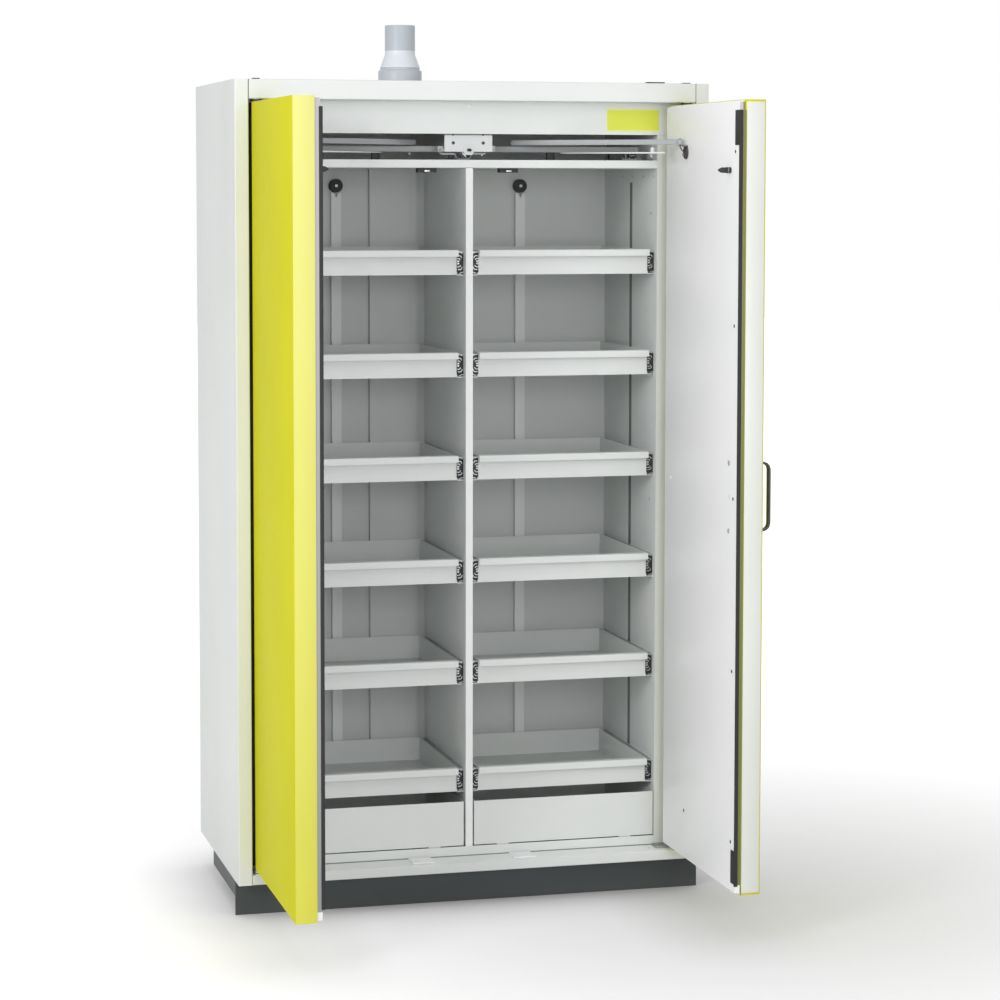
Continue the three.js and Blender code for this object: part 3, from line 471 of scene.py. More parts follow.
# Hinges: each door turns on pins in the sill and the lintel, inside moulded bushes.
# A zinc-plated steel plate carries the lower pin on the sill, with a screw beside it and a bright
# ring between the two halves of its bush.
black_plastic, place = new_finish("black_plastic", IOR=1.48)
flow = place.cloud(24.0, 3.0)
feed(
    black_plastic, flow.spread(0.3, 0.7).tint(rgb("1C1E1F"), rgb("252728")),
    flow.spread(0.3, 0.7, 0.48, 0.62), place.cloud(1500.0, 2.0), 0.00005,
)
zinc, place = new_finish("zinc", Metallic=0.85, IOR=1.5)
streaks = place.cloud(700.0, 3.0, stretch=(0.05, 1, 1))
feed(
    zinc, place.cloud(45.0, 2.0).spread(0.35, 0.65).tint(rgb("CBCED0"), rgb("BEC1C3")),
    streaks.spread(0.2, 0.8, 0.3, 0.46), streaks, 0.00002,
)


def pan_screw(shape, start, out, radius, height):
    """A domed screw head that stands out from start, with a round recess in its top."""
    end = Vector(start) + Vector(out)
    turned(shape, [
        (0, -height / 2), (radius * 0.96, -height / 2), (radius, height * 0.2),
        (radius * 0.86, height * 0.66), (radius * 0.55, height * 0.94), (radius * 0.3, height),
        (radius * 0.22, height * 0.55), (0, height * 0.45),
    ], start, end, 20)


def satin_metal(name, colour, shade, smooth, rough, metallic):
    """Worked steel with a cloudy surface: two colours, and the roughness in each."""
    material, place = new_finish(name, Metallic=metallic, IOR=1.5)
    clouds = place.cloud(60.0, 4.0)
    feed(
        material, clouds.spread(0.3, 0.7).tint(rgb(colour), rgb(shade)),
        clouds.spread(0.3, 0.7, smooth, rough), place.cloud(800.0, 2.0), 0.00003,
    )
    return material


pin_x, pin_y = 0.544, -0.0294
pin_hole = 0.0121
bush_radius = 0.0143
bush_edge = 0.0003
plate_near, plate_far = 0.4800, 0.5630
plate_front, plate_rear = -0.0120, 0.0258
plate_low, plate_top = 0.1101, 0.1152
sill_screw_x, sill_screw_y, sill_screw_z = 0.4640, -0.0060, 0.1100
hinge_bushes = bmesh.new()
hinge_rings = bmesh.new()
hinge_plates = bmesh.new()
sill_screws = bmesh.new()
for side in (-1, 1):
    pin = (side * pin_x, pin_y)
    for low, high, made in (
        (0.1132, 0.1150, hinge_bushes), (0.1150, 0.1208, hinge_rings),
        (0.1208, 0.1237, hinge_bushes), (1.9944, 2.0008, hinge_bushes),
    ):
        tall = high - low
        turned(made, [
            (pin_hole, 0), (bush_radius - bush_edge, 0), (bush_radius, bush_edge),
            (bush_radius, tall - bush_edge), (bush_radius - bush_edge, tall), (pin_hole, tall),
            (pin_hole, 0),
        ], (*pin, low), (*pin, high), 40)
    x0, x1 = from_middle(side, plate_near, plate_far)
    slab(hinge_plates, (x0, plate_front, plate_low), (x1, plate_rear, plate_top), 0.0012)
    pan_screw(
        sill_screws, (side * sill_screw_x, sill_screw_y, sill_screw_z), (0, 0, 1), 0.0036, 0.0014,
    )
dull_zinc = satin_metal("dull_zinc", "9A9C9A", "868886", smooth=0.5, rough=0.62, metallic=0.4)
finished("hinge_bushes", hinge_bushes, black_plastic, "casing")
finished("hinge_rings", hinge_rings, zinc, "casing")
finished("hinge_plates", hinge_plates, dull_zinc, "casing")
finished("sill_screws", sill_screws, zinc, "casing")


# Roof caps: low moulded plugs that close the lifting holes beside the front corners of the roof.
# Each has a flat head with a soft rim and presses into its hole.
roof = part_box("top_casing")[1].z
cap_front, cap_rear = -0.022, -0.002
caps = bmesh.new()
for x0, x1, tall, edge in (
    (-0.551, -0.533, 0.003, 0.0014), (0.443, 0.490, 0.0035, 0.0016),
    (0.538, 0.557, 0.0025, 0.0012),
):
    slab(caps, (x0, cap_front, roof), (x1, cap_rear, roof + tall), edge, 3)
finished("roof_caps", caps, black_plastic, "casing")


# Rear sheet: pan-head screws hold it to the folded flanges of the sides, the base and the roof.
# They are zinc-plated steel with domed heads, in two columns and two rows.
rear_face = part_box("rear_casing")[1].y
screw_pitch = 0.23
screw_columns = (0.585, -0.585)
screw_rows = (0.102, 2.033)
lowest_screw = 0.14
outer_screw = -0.46
rear_places = [(x, lowest_screw + screw_pitch * k) for x in screw_columns for k in range(9)]
rear_places += [(outer_screw + screw_pitch * k, z) for z in screw_rows for k in range(5)]
rear_screws = bmesh.new()
for x, z in rear_places:
    pan_screw(rear_screws, (x, rear_face, z), (0, 1, 0), 0.0042, 0.0016)
finished("rear_screws", rear_screws, zinc, "casing")


# Insulation boards: calcium silicate, sanded flat, with open pores and short pale fibres.
# They stand between the casing and the lining and show only through the slots in the lining.
board_finish, place = new_finish("insulation_board", IOR=1.45)
fibres = place.cloud(260.0, 4.0, stretch=(1, 1, 6))
cells = place.node("ShaderNodeTexVoronoi", {}, {"Vector": place, "Scale": 420.0})
pores = cells.spread(0.0, 0.22, 1.0, 0.0)
mottle = place.cloud(9.0, 5.0).spread(0.3, 0.7)
board_colour = mottle.tint(rgb("8A8B87"), rgb("7C7D7A"))
board_colour = (fibres.spread(0.55, 0.7) * 0.4).tint(board_colour, rgb("A9A9A3"))
board_colour = (pores * 0.5).tint(board_colour, rgb("5B5C5A"))
feed(board_finish, board_colour, mottle * 0.09 + 0.86, fibres - pores, 0.0004)
paint_nodes(board_finish, [
    "left_side_board", "right_side_board", "roof_board", "floor_board", "rear_board",
])


# Lining: side walls, partition, rear wall and rear rails of thinner sheet in one pale coat; its
# copy on the partition and rails is lighter as painted light, and on the rear wall darker as
# painted shade.
# The fixed slide members on the walls and the partition are bare zinc-plated steel.
def half_steel(name, colour, shade, low, high):
    """Powder coat with bare zinc where the distance from the middle is between low and high."""
    material, place = new_finish(name, IOR=1.5)
    across = place.parts()[0].size()
    bare_metal_and_painted_shade = (across > low) * (across < high)
    streaks = place.cloud(500.0, 3.0, stretch=(1, 0.04, 1))
    zinc_grey = streaks.tint(rgb("B9BCBE"), rgb("A4A8AA"))
    feed(
        material, bare_metal_and_painted_shade.tint(powder_film(place, colour, shade), zinc_grey),
        place.cloud(38.0, 2.0).spread(0.3, 0.7, 0.44, 0.54) - bare_metal_and_painted_shade * 0.12,
        orange_peel(place), 0.00004,
    )
    shader = material.node_tree.nodes["Principled BSDF"]
    material.node_tree.links.new((bare_metal_and_painted_shade * 0.8).socket, shader.inputs["Metallic"])
    return material


partition_face, inner_slide = 0.0096, 0.0300
outer_slide, wall_face = 0.4600, 0.4868
# Painted light on the partition and rails, painted shade on the rear wall: lighter and darker
# copies of the lining's coat.
partition_coat_painted_light = half_steel("partition_coat_painted_light", "F6F8F7", "EFF2F0", partition_face, inner_slide)
paint_nodes(partition_coat_painted_light, ["partition"])
rail_coat_painted_light = powder_coat("rail_coat_painted_light", "F2F4F3", "ECEEED", gloss=0.45)
paint_nodes(rail_coat_painted_light, ["left_rear_rail", "right_rear_rail"])
rear_coat_painted_shade = powder_coat("rear_coat_painted_shade", "DCDFDD", "D5D8D6", gloss=0.52, peel=0.00004)
paint_nodes(rear_coat_painted_shade, ["rear_inner_wall"])
wall_coat = half_steel("wall_coat", "E4E7E5", "DDE0DE", outer_slide, wall_face)
paint_nodes(wall_coat, ["left_inner_wall", "right_inner_wall"])


# Rear buffers: moulded rubber discs on the rear wall, each with a bright rivet through its middle.
# They catch a tray that is pushed in too hard.
buffer_rubber, place = new_finish("buffer_rubber", IOR=1.5)
bloom = place.cloud(40.0, 3.0)
feed(
    buffer_rubber, bloom.spread(0.3, 0.75).tint(rgb("2E2F31"), rgb("3A3B3D")),
    bloom.spread(0.3, 0.7, 0.6, 0.75), place.cloud(1800.0, 1.0), 0.00006,
)
rear_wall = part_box("left_rear_rail")[1].y
buffer_x, buffer_z = 0.2485, 1.794
buffer_radius = 0.0176
buffer_floor = 0.0190
buffer_top = 0.0206
rivet_radius = 0.0031
forwards = Vector((0, -1, 0))
buffers = bmesh.new()
rivets = bmesh.new()
for side in (-1, 1):
    centre = Vector((side * buffer_x, rear_wall - 0.0006, buffer_z))
    turned(buffers, [
        (0, 0), (buffer_radius - 0.0008, 0), (buffer_radius, 0.0015), (buffer_radius, 0.0180),
        (buffer_radius - 0.0012, 0.0200), (0.0120, buffer_top), (rivet_radius + 0.0005, buffer_top),
        (rivet_radius + 0.0003, buffer_floor), (0, buffer_floor),
    ], centre, centre + forwards, 40)
    turned(rivets, [
        (0, buffer_floor), (rivet_radius, buffer_floor), (rivet_radius, 0.0212),
        (rivet_radius - 0.0005, 0.0222), (0, 0.0226),
    ], centre, centre + forwards, 24)
finished("rear_buffers", buffers, buffer_rubber, "casing")
finished("rear_buffer_rivets", rivets, zinc, "casing")


# Exhaust spigot: an injection-moulded reducer on the roof, from a wide collar to the duct pipe.
# A groove runs round above the collar, the cone is painted paler as painted light where it faces
# up, and the pipe has a rounded rim.
spigot_finish, place = new_finish("spigot_plastic", IOR=1.46)
flow = place.cloud(14.0, 3.0)
facets = place.cloud(60.0, 1.0, stretch=(1, 1, 0.08))
cone_low, cone_high = 2.0965, 2.1395
height = place.parts()[2]
# Painted light: the cone between cone_low and cone_high is tinted paler than the rest.
painted_light_cone = (height > cone_low) * (height < cone_high)
feed(
    spigot_finish, painted_light_cone.tint(flow.tint(rgb("BEC4CC"), rgb("B6BCC3")), rgb("DDE2E9")),
    flow.spread(0.3, 0.7, 0.34, 0.44), facets, 0.00015,
)
low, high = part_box("exhaust_spigot")
middle = (low + high) / 2
tall = high.z - low.z
bore = 0.0363
pipe = 0.0388
collar = 0.0560
groove = 0.0506
spigot = bmesh.new()
turned(spigot, [
    (bore, 0), (collar - 0.0005, 0), (collar, 0.0012), (collar, 0.0372),
    (collar - 0.0008, 0.0392), (collar - 0.0024, 0.0402), (groove + 0.0008, 0.0408),
    (groove, 0.0425), (groove, 0.0462), (groove + 0.0008, 0.0476), (groove + 0.0004, 0.0486),
    (pipe + 0.0017, 0.0760), (pipe + 0.0005, 0.0782), (pipe, 0.0810), (pipe, tall - 0.0022),
    (pipe - 0.0004, tall - 0.0008), (pipe - 0.0011, tall), (bore + 0.0007, tall - 0.0006),
    (bore, tall - 0.0022), (bore, 0),
], (middle.x, middle.y, low.z), (middle.x, middle.y, high.z), 96)
finished("spigot", spigot, spigot_finish, "casing", ["exhaust_spigot"])


# Label plate: a bare yellow vinyl rectangle on the fascia, with rounded corners.
# Its upper and lower borders are paler. In the middle of the fascia a white plug closes a hole.
label_left, label_right = 0.355, 0.491
label_low, label_high = 1.931, 1.986
label_thick = 0.0007
label_corner = 0.003
label_border = 0.003
label_vinyl, place = new_finish("label_vinyl", IOR=1.48)
from_centre = (place.parts()[2] - (label_low + label_high) / 2).size()
border = from_centre > (label_high - label_low) / 2 - label_border
sun = place.cloud(12.0, 2.0).spread(0.3, 0.7)
feed(
    label_vinyl, (border * 0.7).tint(sun.tint(rgb("E4EA52"), rgb("DEE44B")), rgb("EFF38C")),
    sun * 0.08 + 0.34, place.cloud(300.0, 1.0), 0.00003,
)
fascia_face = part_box("fascia")[0].y
label = bmesh.new()
slab(
    label, (label_left, fascia_face - label_thick, label_low),
    (label_right, fascia_face, label_high),
)
corners = [e for e in label.edges if abs((e.verts[0].co - e.verts[1].co).y) > label_thick / 2]
bmesh.ops.bevel(
    label, geom=corners, offset=label_corner, segments=4, profile=0.5, affect="EDGES",
    material=-1,
)
finished("label_plate", label, label_vinyl, "casing")

white_plastic, place = new_finish("white_plastic", IOR=1.48)
flow = place.cloud(30.0, 3.0)
feed(
    white_plastic, flow.spread(0.3, 0.7).tint(rgb("EEF0F0"), rgb("E6E9E9")),
    flow.spread(0.3, 0.7, 0.34, 0.46), place.cloud(1400.0, 1.0), 0.00003,
)
plug_centre = Vector((-0.001, fascia_face, 1.991))
plug = bmesh.new()
turned(plug, [
    (0, 0), (0.0050, 0), (0.0052, 0.0006), (0.0044, 0.0017), (0.0020, 0.0022), (0, 0.0023),
], plug_centre, plug_centre + forwards, 24)
finished("fascia_plug", plug, white_plastic, "casing")


# Trays and sump boxes: folded pans of 1.5 and 2 mm sheet with a pale satin coat.
# The lip of each tray is where hands pull, so its coat is rubbed a little smoother.
panel_rear = 0.0535
tray_coat, place = new_finish("tray_coat", IOR=1.5)
grip = place.parts()[1] < panel_rear
rubbed = place.cloud(16.0, 3.0, stretch=(1, 1, 5)).spread(0.45, 0.7)
scuffs = place.cloud(90.0, 4.0, stretch=(0.15, 1, 1)).spread(0.7, 0.8)
feed(
    tray_coat, (scuffs * 0.15).tint(powder_film(place, "E4E7E5", "DDE0DE"), rgb("C3C6C4")),
    place.cloud(38.0, 2.0).spread(0.3, 0.7, 0.42, 0.5) - grip * rubbed * 0.08,
    orange_peel(place), 0.00003,
)
paint_nodes(tray_coat, [
    *[f"{side}_tray_{k}" for side in ("left", "right") for k in range(1, 7)],
    "left_sump_box", "right_sump_box",
])


# Slide ends: each tray runs on two ball slides, and their front ends show beside its panel.
# The rolled steel members stand nested in front of a black moulded end piece.
def folded_strip(shape, points, front, rear, thickness):
    """A strip that follows points of (x, z), from front to rear, with the given thickness."""
    line = [shape.verts.new((x, front, z)) for x, z in points]
    edges = [shape.edges.new(pair) for pair in zip(line, line[1:])]
    drawn = bmesh.ops.extrude_edge_only(shape, edges=edges)["geom"]
    verts = [g for g in drawn if isinstance(g, bmesh.types.BMVert)]
    faces = [g for g in drawn if isinstance(g, bmesh.types.BMFace)]
    bmesh.ops.translate(shape, vec=(0, rear - front, 0), verts=verts)
    bmesh.ops.recalc_face_normals(shape, faces=faces)
    bmesh.ops.solidify(shape, geom=faces, thickness=thickness)


gap_width = 0.0180
slide_inner = 0.2204
slide_face = 0.0177
slide_heart = 0.0310
end_piece_half = 0.0245
end_piece_thick = 0.0022
steel_front, steel_rear = 0.0032, 0.0012
steel_sheet = 0.0016
half_profiles = (
    [(0.0058, 0.0268), (0.0104, 0.0252), (0.0150, 0.0232)],
    [(0.0030, 0.0170), (0.0086, 0.0171), (0.0112, 0.0158), (0.0126, 0.0136), (0.0134, 0.0108)],
    [(0.0010, 0.0098), (0.0048, 0.0106), (0.0078, 0.0094), (0.0094, 0.0066)],
    [(0.0012, 0.0048), (0.0050, 0.0046), (0.0066, 0.0028), (0.0056, 0.0012), (0.0012, 0.0008)],
)
for side in ("left", "right"):
    for k in range(1, 7):
        low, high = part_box(f"{side}_tray_{k}")
        middle = (low.x + high.x) / 2
        face = low.y + slide_face
        heart = low.z + slide_heart
        block = bmesh.new()
        steel = bmesh.new()
        for way in (-1, 1):
            inner = middle + way * slide_inner
            x0, x1 = sorted((inner + way * 0.0004, inner + way * (gap_width - 0.0007)))
            slab(
                block, (x0, face - end_piece_thick, heart - end_piece_half),
                (x1, face, heart + end_piece_half - 0.0005), 0.0012,
            )
            for half in (-1, 1):
                for profile in half_profiles:
                    points = [(inner + way * out, heart + half * rise) for out, rise in profile]
                    folded_strip(steel, points, face - steel_front, face - steel_rear, steel_sheet)
        body = f"{side}_drawer_{k}"
        finished(f"{side}_slide_buffers_{k}", block, black_plastic, body)
        finished(f"{side}_slide_ends_{k}", steel, zinc, body)


# Doors: a yellow powder-coated case filled with board, closed by a stepped white inner panel.
# The case is folded, with a wide rounding along its hinge edge. The left free edge is paler upwards
# as a painted highlight, the right one is painted olive as painted shade beside a white cover, and
# the stepped edges of both panels are painted grey as painted shade, darker towards the bottom and
# olive on the right one.
case_edge, panel_edge = -0.5712, -0.5684
cover_near, cover_far = 0.5098, 0.5538
cover_low, cover_high = 0.1290, 1.9890
olive_shade_near, panel_far = 0.5016, 0.5068
painted_shade_low = 0.1480
seal_end = 1.970
yellow_coat, place = new_finish("yellow_coat", IOR=1.5, Specular_IOR_Level=0.04)
thin = thin_places(place)
across, deep, tall_at = place.parts()
free_edge = deep < case_edge
# Painted highlight: the left door's free edge is tinted paler, more so higher up.
painted_highlight_edge = free_edge * (across < 0.0) * tall_at.spread(0.1, 2.0, 0.3, 0.85)
# Painted shade: the right door's free edge beside the cover is tinted olive below the seal's top.
shaded = free_edge * (across > 0.0) * (across < cover_near) * (tall_at < seal_end)
yellow = painted_highlight_edge.tint(powder_film(place, "DCD91E", "D6D31A"), rgb("E9E796"))
feed(
    yellow_coat, shaded.tint(yellow, rgb("8E9048")), thin.spread(0.3, 0.7, 0.42, 0.5),
    orange_peel(place) + thin, 0.00003,
)
panel_coat, place = new_finish("panel_coat", IOR=1.5)
thin = thin_places(place)
across, deep, tall_at = place.parts()
# Painted shade: the stepped edge of each panel is painted grey, darker towards the bottom, and
# olive on the right door's lap.
bare_metal_and_painted_shade = (deep < panel_edge) * (across.size() < panel_far) * (tall_at > painted_shade_low)
olive_painted_shade = bare_metal_and_painted_shade * (across > olive_shade_near)
# steel here holds the colours of that painted shade, dark at the foot and lighter at the top.
steel = tall_at.spread(0.12, 2.0).tint(rgb("9FA1A3"), rgb("C6C1C3"))
feed(
    panel_coat,
    olive_painted_shade.tint(bare_metal_and_painted_shade.tint(powder_film(place, "FCFCFC", "F8F9F9"), steel), rgb("86874A")),
    thin.spread(0.3, 0.7, 0.36, 0.44), orange_peel(place) + thin, 0.00003,
)
for side in ("left", "right"):
    finished(
        f"{side}_door_shell", rounded_copy(f"{side}_door_case", 0.0009), yellow_coat,
        f"{side}_door", [f"{side}_door_case"],
    )
    finished(
        f"{side}_door_lid", rounded_copy(f"{side}_door_panel", 0.0006), panel_coat,
        f"{side}_door", [f"{side}_door_panel"],
    )
cover_coat = powder_coat("cover_coat", "E9EBE5", "E4E6E0", gloss=0.4)
low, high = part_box("right_door_edge_cover")
cover = bmesh.new()
slab(cover, (cover_near, low.y, cover_low), (cover_far, high.y, cover_high), 0.0004)
finished(
    "edge_cover", cover, cover_coat, "right_door", ["right_door_edge_cover"],
)


# Seals: an extruded strip of intumescent rubber along the free edge of each door.
# On the right door the strip lies on the returned edge, and a pad wraps the corner at either end.
left_strips = (
    ((-0.4937, -0.5695, 0.1530), (-0.4875, -0.5289, seal_end), 0.0012, 3),
    ((-0.4966, -0.5706, 0.1532), (-0.4878, -0.5687, seal_end - 0.0002), 0.0008, 2),
)
right_strips = (
    ((0.4920, -0.5722, 0.1450), (0.5008, -0.5686, seal_end), 0.0005, 2),
    ((0.4915, -0.5720, 1.8888), (0.4945, -0.5425, seal_end - 0.0002), 0.0005, 2),
    ((0.4915, -0.5720, 0.1500), (0.4945, -0.5465, 0.2285), 0.0005, 2),
)
for name, blocks in (("left", left_strips), ("right", right_strips)):
    strip = bmesh.new()
    for low, high, rounding, steps in blocks:
        slab(strip, low, high, rounding, steps)
    finished(
        f"{name}_seal_strip", strip, rubber, f"{name}_door",
        [f"{name}_door_seal"],
    )


# Locating pegs: turned and blackened steel, screwed into each door, with a pointed nose.
# A narrow grey ring sits round its foot, and a groove parts the foot from the nose.
black_steel = satin_metal("black_steel", "2A2B2C", "353637", smooth=0.4, rough=0.52, metallic=0.3)
peg_rise = 0.0020
foot_radius = 0.0071
groove_radius = 0.0056
nose_radius = 0.0064
ring_inner, ring_outer = 0.0066, 0.0074
for name, way in (("left", 1), ("right", -1)):
    low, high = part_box(f"{name}_door_peg")
    root = low.x if way > 0 else high.x
    centre = (root, (low.y + high.y) / 2, (low.z + high.z) / 2 + peg_rise)
    tip = (root + way, centre[1], centre[2])
    peg = bmesh.new()
    turned(peg, [
        (0, 0), (foot_radius - 0.0003, 0), (foot_radius, 0.0006), (foot_radius, 0.0118),
        (foot_radius - 0.0004, 0.0126), (groove_radius, 0.0128), (groove_radius, 0.0140),
        (nose_radius, 0.0142), (nose_radius, 0.0220), (nose_radius - 0.0006, 0.0236),
        (0.0022, 0.0306), (0.0010, 0.0316), (0, 0.0318),
    ], centre, tip, 32)
    finished(f"{name}_peg", peg, black_steel, f"{name}_door", [f"{name}_door_peg"])
    ring = bmesh.new()
    turned(ring, [
        (ring_inner, 0.0060), (ring_outer - 0.0001, 0.0062), (ring_outer, 0.0066),
        (ring_outer, 0.0074), (ring_outer - 0.0001, 0.0078), (ring_inner, 0.0080),
        (ring_inner, 0.0060),
    ], centre, tip, 32)
    finished(f"{name}_peg_ring", ring, dull_zinc, f"{name}_door")


# Door screws: low domed screws along the free edge, and one near the foot, hold the panel.
# Two small white buttons cover spare holes. Two bright screws on the right door hold its handle.
gun_metal = satin_metal("gun_metal", "4A4648", "565254", smooth=0.34, rough=0.46, metallic=0.5)
screw_line = -0.5394
screw_places = [(screw_line, z) for z in (1.874, 1.468, 1.062, 0.653, 0.246)]
screw_places.append((-0.1909, 0.246))
button_places = ((-0.0699, 1.066), (-0.5169, 1.065))
for name, way in (("left", 1), ("right", -1)):
    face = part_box(f"{name}_door_panel")[1 if way > 0 else 0].x
    screws = bmesh.new()
    for y, z in screw_places:
        pan_screw(screws, (face, y, z), (way, 0, 0), 0.0044, 0.0010)
    finished(f"{name}_door_screws", screws, gun_metal, f"{name}_door")
    buttons = bmesh.new()
    for y, z in button_places:
        turned(buttons, [
            (0, 0), (0.0050, 0), (0.0050, 0.0008), (0.0038, 0.0016), (0, 0.0018),
        ], (face, y, z), (face + way, y, z), 20)
    finished(f"{name}_door_buttons", buttons, white_plastic, f"{name}_door")

handle_line = -0.5109
handle_ends = (0.983, 1.144)
fixings = bmesh.new()
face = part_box("right_door_panel")[0].x
for z in handle_ends:
    turned(fixings, [
        (0, 0), (0.0060, 0), (0.0060, 0.0012), (0.0048, 0.0022), (0.0024, 0.0026),
        (0.0018, 0.0016), (0, 0.0014),
    ], (face, handle_line, z), (face - 1, handle_line, z), 24)
finished("handle_fixings", fixings, zinc, "right_door")


# Door handle: one bent flat bar with rounded edges, screwed on from inside the door.
# It is steel with a dark, slightly cloudy satin finish.
finished(
    "handle", rounded_copy("right_door_handle", 0.0016, steps=4, sharp=40), gun_metal,
    "right_door", ["right_door_handle"],
)


# Closer: a white plate hangs in the slot, with a guide rail behind it and an arm for each door.
# Screws, side tabs and a latch with a black knob sit on the plate, and a thin bow guards the latch.
white_plate = powder_coat("white_plate", "DFE2E2", "D8DBDB", gloss=0.4)
paint_nodes(white_plate, ["closer_plate"])
arm_coat = powder_coat("arm_coat", "A6A9AB", "9A9DA0", gloss=0.42)
for name in ("left", "right"):
    finished(
        f"{name}_arm_bar", rounded_copy(f"{name}_closer_arm", 0.0008), arm_coat, f"{name}_arm",
        [f"{name}_closer_arm"],
    )

low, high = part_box("closer_guide_rail")
rail_low = 1.8780
rail_sheet = 0.0015
rail_edge = 0.0004
rail = bmesh.new()
slab(rail, (low.x, low.y, rail_low), (high.x, low.y + rail_sheet, high.z), rail_edge)
slab(rail, (low.x, high.y - rail_sheet, rail_low), (high.x, high.y, high.z), rail_edge)
slab(
    rail, (low.x, low.y + 0.0010, high.z - rail_sheet), (high.x, high.y - 0.0010, high.z),
    rail_edge,
)
post_half, post_inset, post_top = 0.010, 0.0018, 1.8900
foot_half, foot_inset, foot_top = 0.016, 0.0005, 1.8425
rail_feet = bmesh.new()
for x in (-0.440, -0.225, 0.225, 0.440):
    slab(
        rail_feet, (x - post_half, low.y + post_inset, low.z),
        (x + post_half, high.y - post_inset, post_top), 0.0008,
    )
    slab(
        rail_feet, (x - foot_half, low.y + foot_inset, low.z), (x + foot_half, high.y, foot_top),
        0.0008,
    )
finished("guide_rail", rail, arm_coat, "casing", ["closer_guide_rail"])
finished("guide_rail_feet", rail_feet, black_plastic, "casing")

plate_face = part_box("closer_plate")[0].y
large_screw_z, small_screw_z = 1.8998, 1.9195
plate_screws = bmesh.new()
for x in (-0.0388, 0.0376):
    pan_screw(plate_screws, (x, plate_face, large_screw_z), forwards, 0.0042, 0.0018)
    pan_screw(plate_screws, (x, plate_face, small_screw_z), forwards, 0.0022, 0.0008)
finished("closer_plate_screws", plate_screws, gun_metal, "casing")


def plate_blocks(shape, blocks):
    """Blocks by x, z and depth behind the closer plate's face, from low to high, and rounding."""
    for x0, x1, z0, z1, front, rear, rounding in blocks:
        slab(shape, (x0, plate_face + front, z0), (x1, plate_face + rear, z1), rounding)


tabs = bmesh.new()
plate_blocks(tabs, (
    (-0.0783, -0.0645, 1.8778, 1.8922, 0.0004, 0.0019, 0.0006),
    (-0.0650, -0.0605, 1.8790, 1.8850, 0.0006, 0.0017, 0.0004),
    (0.0605, 0.0688, 1.8782, 1.8926, 0.0004, 0.0019, 0.0006),
))
left_lip = [(-0.0705, 1.8772), (-0.0665, 1.8742), (-0.0345, 1.8742)]
right_lip = [(0.0120, 1.8748), (0.0405, 1.8748), (0.0440, 1.8766)]
for lip in (left_lip, right_lip):
    folded_strip(tabs, lip, plate_face + 0.0015, plate_face + 0.0045, 0.0034)
clip_low, clip_top = 1.8788, 1.8890
for x0, x1 in ((-0.4560, -0.4485), (0.4470, 0.4528)):
    slab(tabs, (x0, low.y - 0.0012, clip_low), (x1, high.y + 0.0010, clip_top), 0.0012)
slab(tabs, (-0.143, low.y - 0.002, 1.8700), (-0.137, low.y + 0.004, 1.8765), 0.0010)
finished("closer_tabs", tabs, arm_coat, "casing")

latch_x = 0.0016
knob_radius = 0.0056
knob_flatness = 0.68
knob_centre = Vector((latch_x, plate_face - 0.0010, 1.8823))
knob = bmesh.new()
turned(knob, [
    (0, -0.001), (knob_radius - 0.0004, -0.001), (knob_radius, 0.0010), (knob_radius, 0.0040),
    (knob_radius - 0.0010, 0.0058), (0.0020, 0.0064), (0, 0.0065),
], knob_centre, knob_centre + forwards, 28)
bmesh.ops.scale(
    knob, vec=(1, 1, knob_flatness), verts=knob.verts,
    space=Matrix.Translation((0, 0, -knob_centre.z)),
)
plate_blocks(knob, (
    (-0.0500, -0.0360, 1.8612, 1.8728, 0.0045, 0.0150, 0.0012),
    (-0.0038, 0.0034, 1.8658, 1.8748, -0.0008, 0.0100, 0.0010),
    (-0.0292, -0.0247, 1.8630, 1.8720, 0.0040, 0.0100, 0.0006),
    (-0.0222, -0.0177, 1.8630, 1.8720, 0.0040, 0.0100, 0.0006),
    (-0.0740, -0.0708, 1.8816, 1.8848, -0.0001, 0.0010, 0.0008),
    (0.0618, 0.0642, 1.8824, 1.8852, -0.0001, 0.0010, 0.0006),
))
finished("closer_latch", knob, black_plastic, "casing")

disc_radius = 0.0142
disc_centre = Vector((latch_x, plate_face, 1.8838))
rivet_centre = Vector((0.0352, plate_face + 0.0040, 1.8702))
spring = [(-0.0150, 1.8776), (-0.0112, 1.8720), (-0.0054, 1.8668)]
latch = bmesh.new()
turned(latch, [
    (0, -0.0004), (disc_radius - 0.0006, -0.0004), (disc_radius, 0.0002),
    (disc_radius - 0.0004, 0.0010), (0, 0.0011),
], disc_centre, disc_centre + forwards, 48)
folded_strip(latch, spring, plate_face - 0.0012, plate_face + 0.0060, 0.0026)
turned(latch, [
    (0, 0), (0.0024, 0), (0.0024, 0.0014), (0, 0.0020),
], rivet_centre, rivet_centre + forwards, 20)
finished("closer_latch_steel", latch, white_plate, "casing")

guard_bow = [
    (-0.0330, 1.8731), (-0.0312, 1.8658), (-0.0254, 1.8620), (-0.0113, 1.8608), (0.0014, 1.8612),
    (0.0065, 1.8659), (0.0081, 1.8733),
]
guard = bmesh.new()
folded_strip(guard, guard_bow, plate_face + 0.0030, plate_face + 0.0110, 0.0013)
finished("closer_guard", guard, arm_coat, "casing")


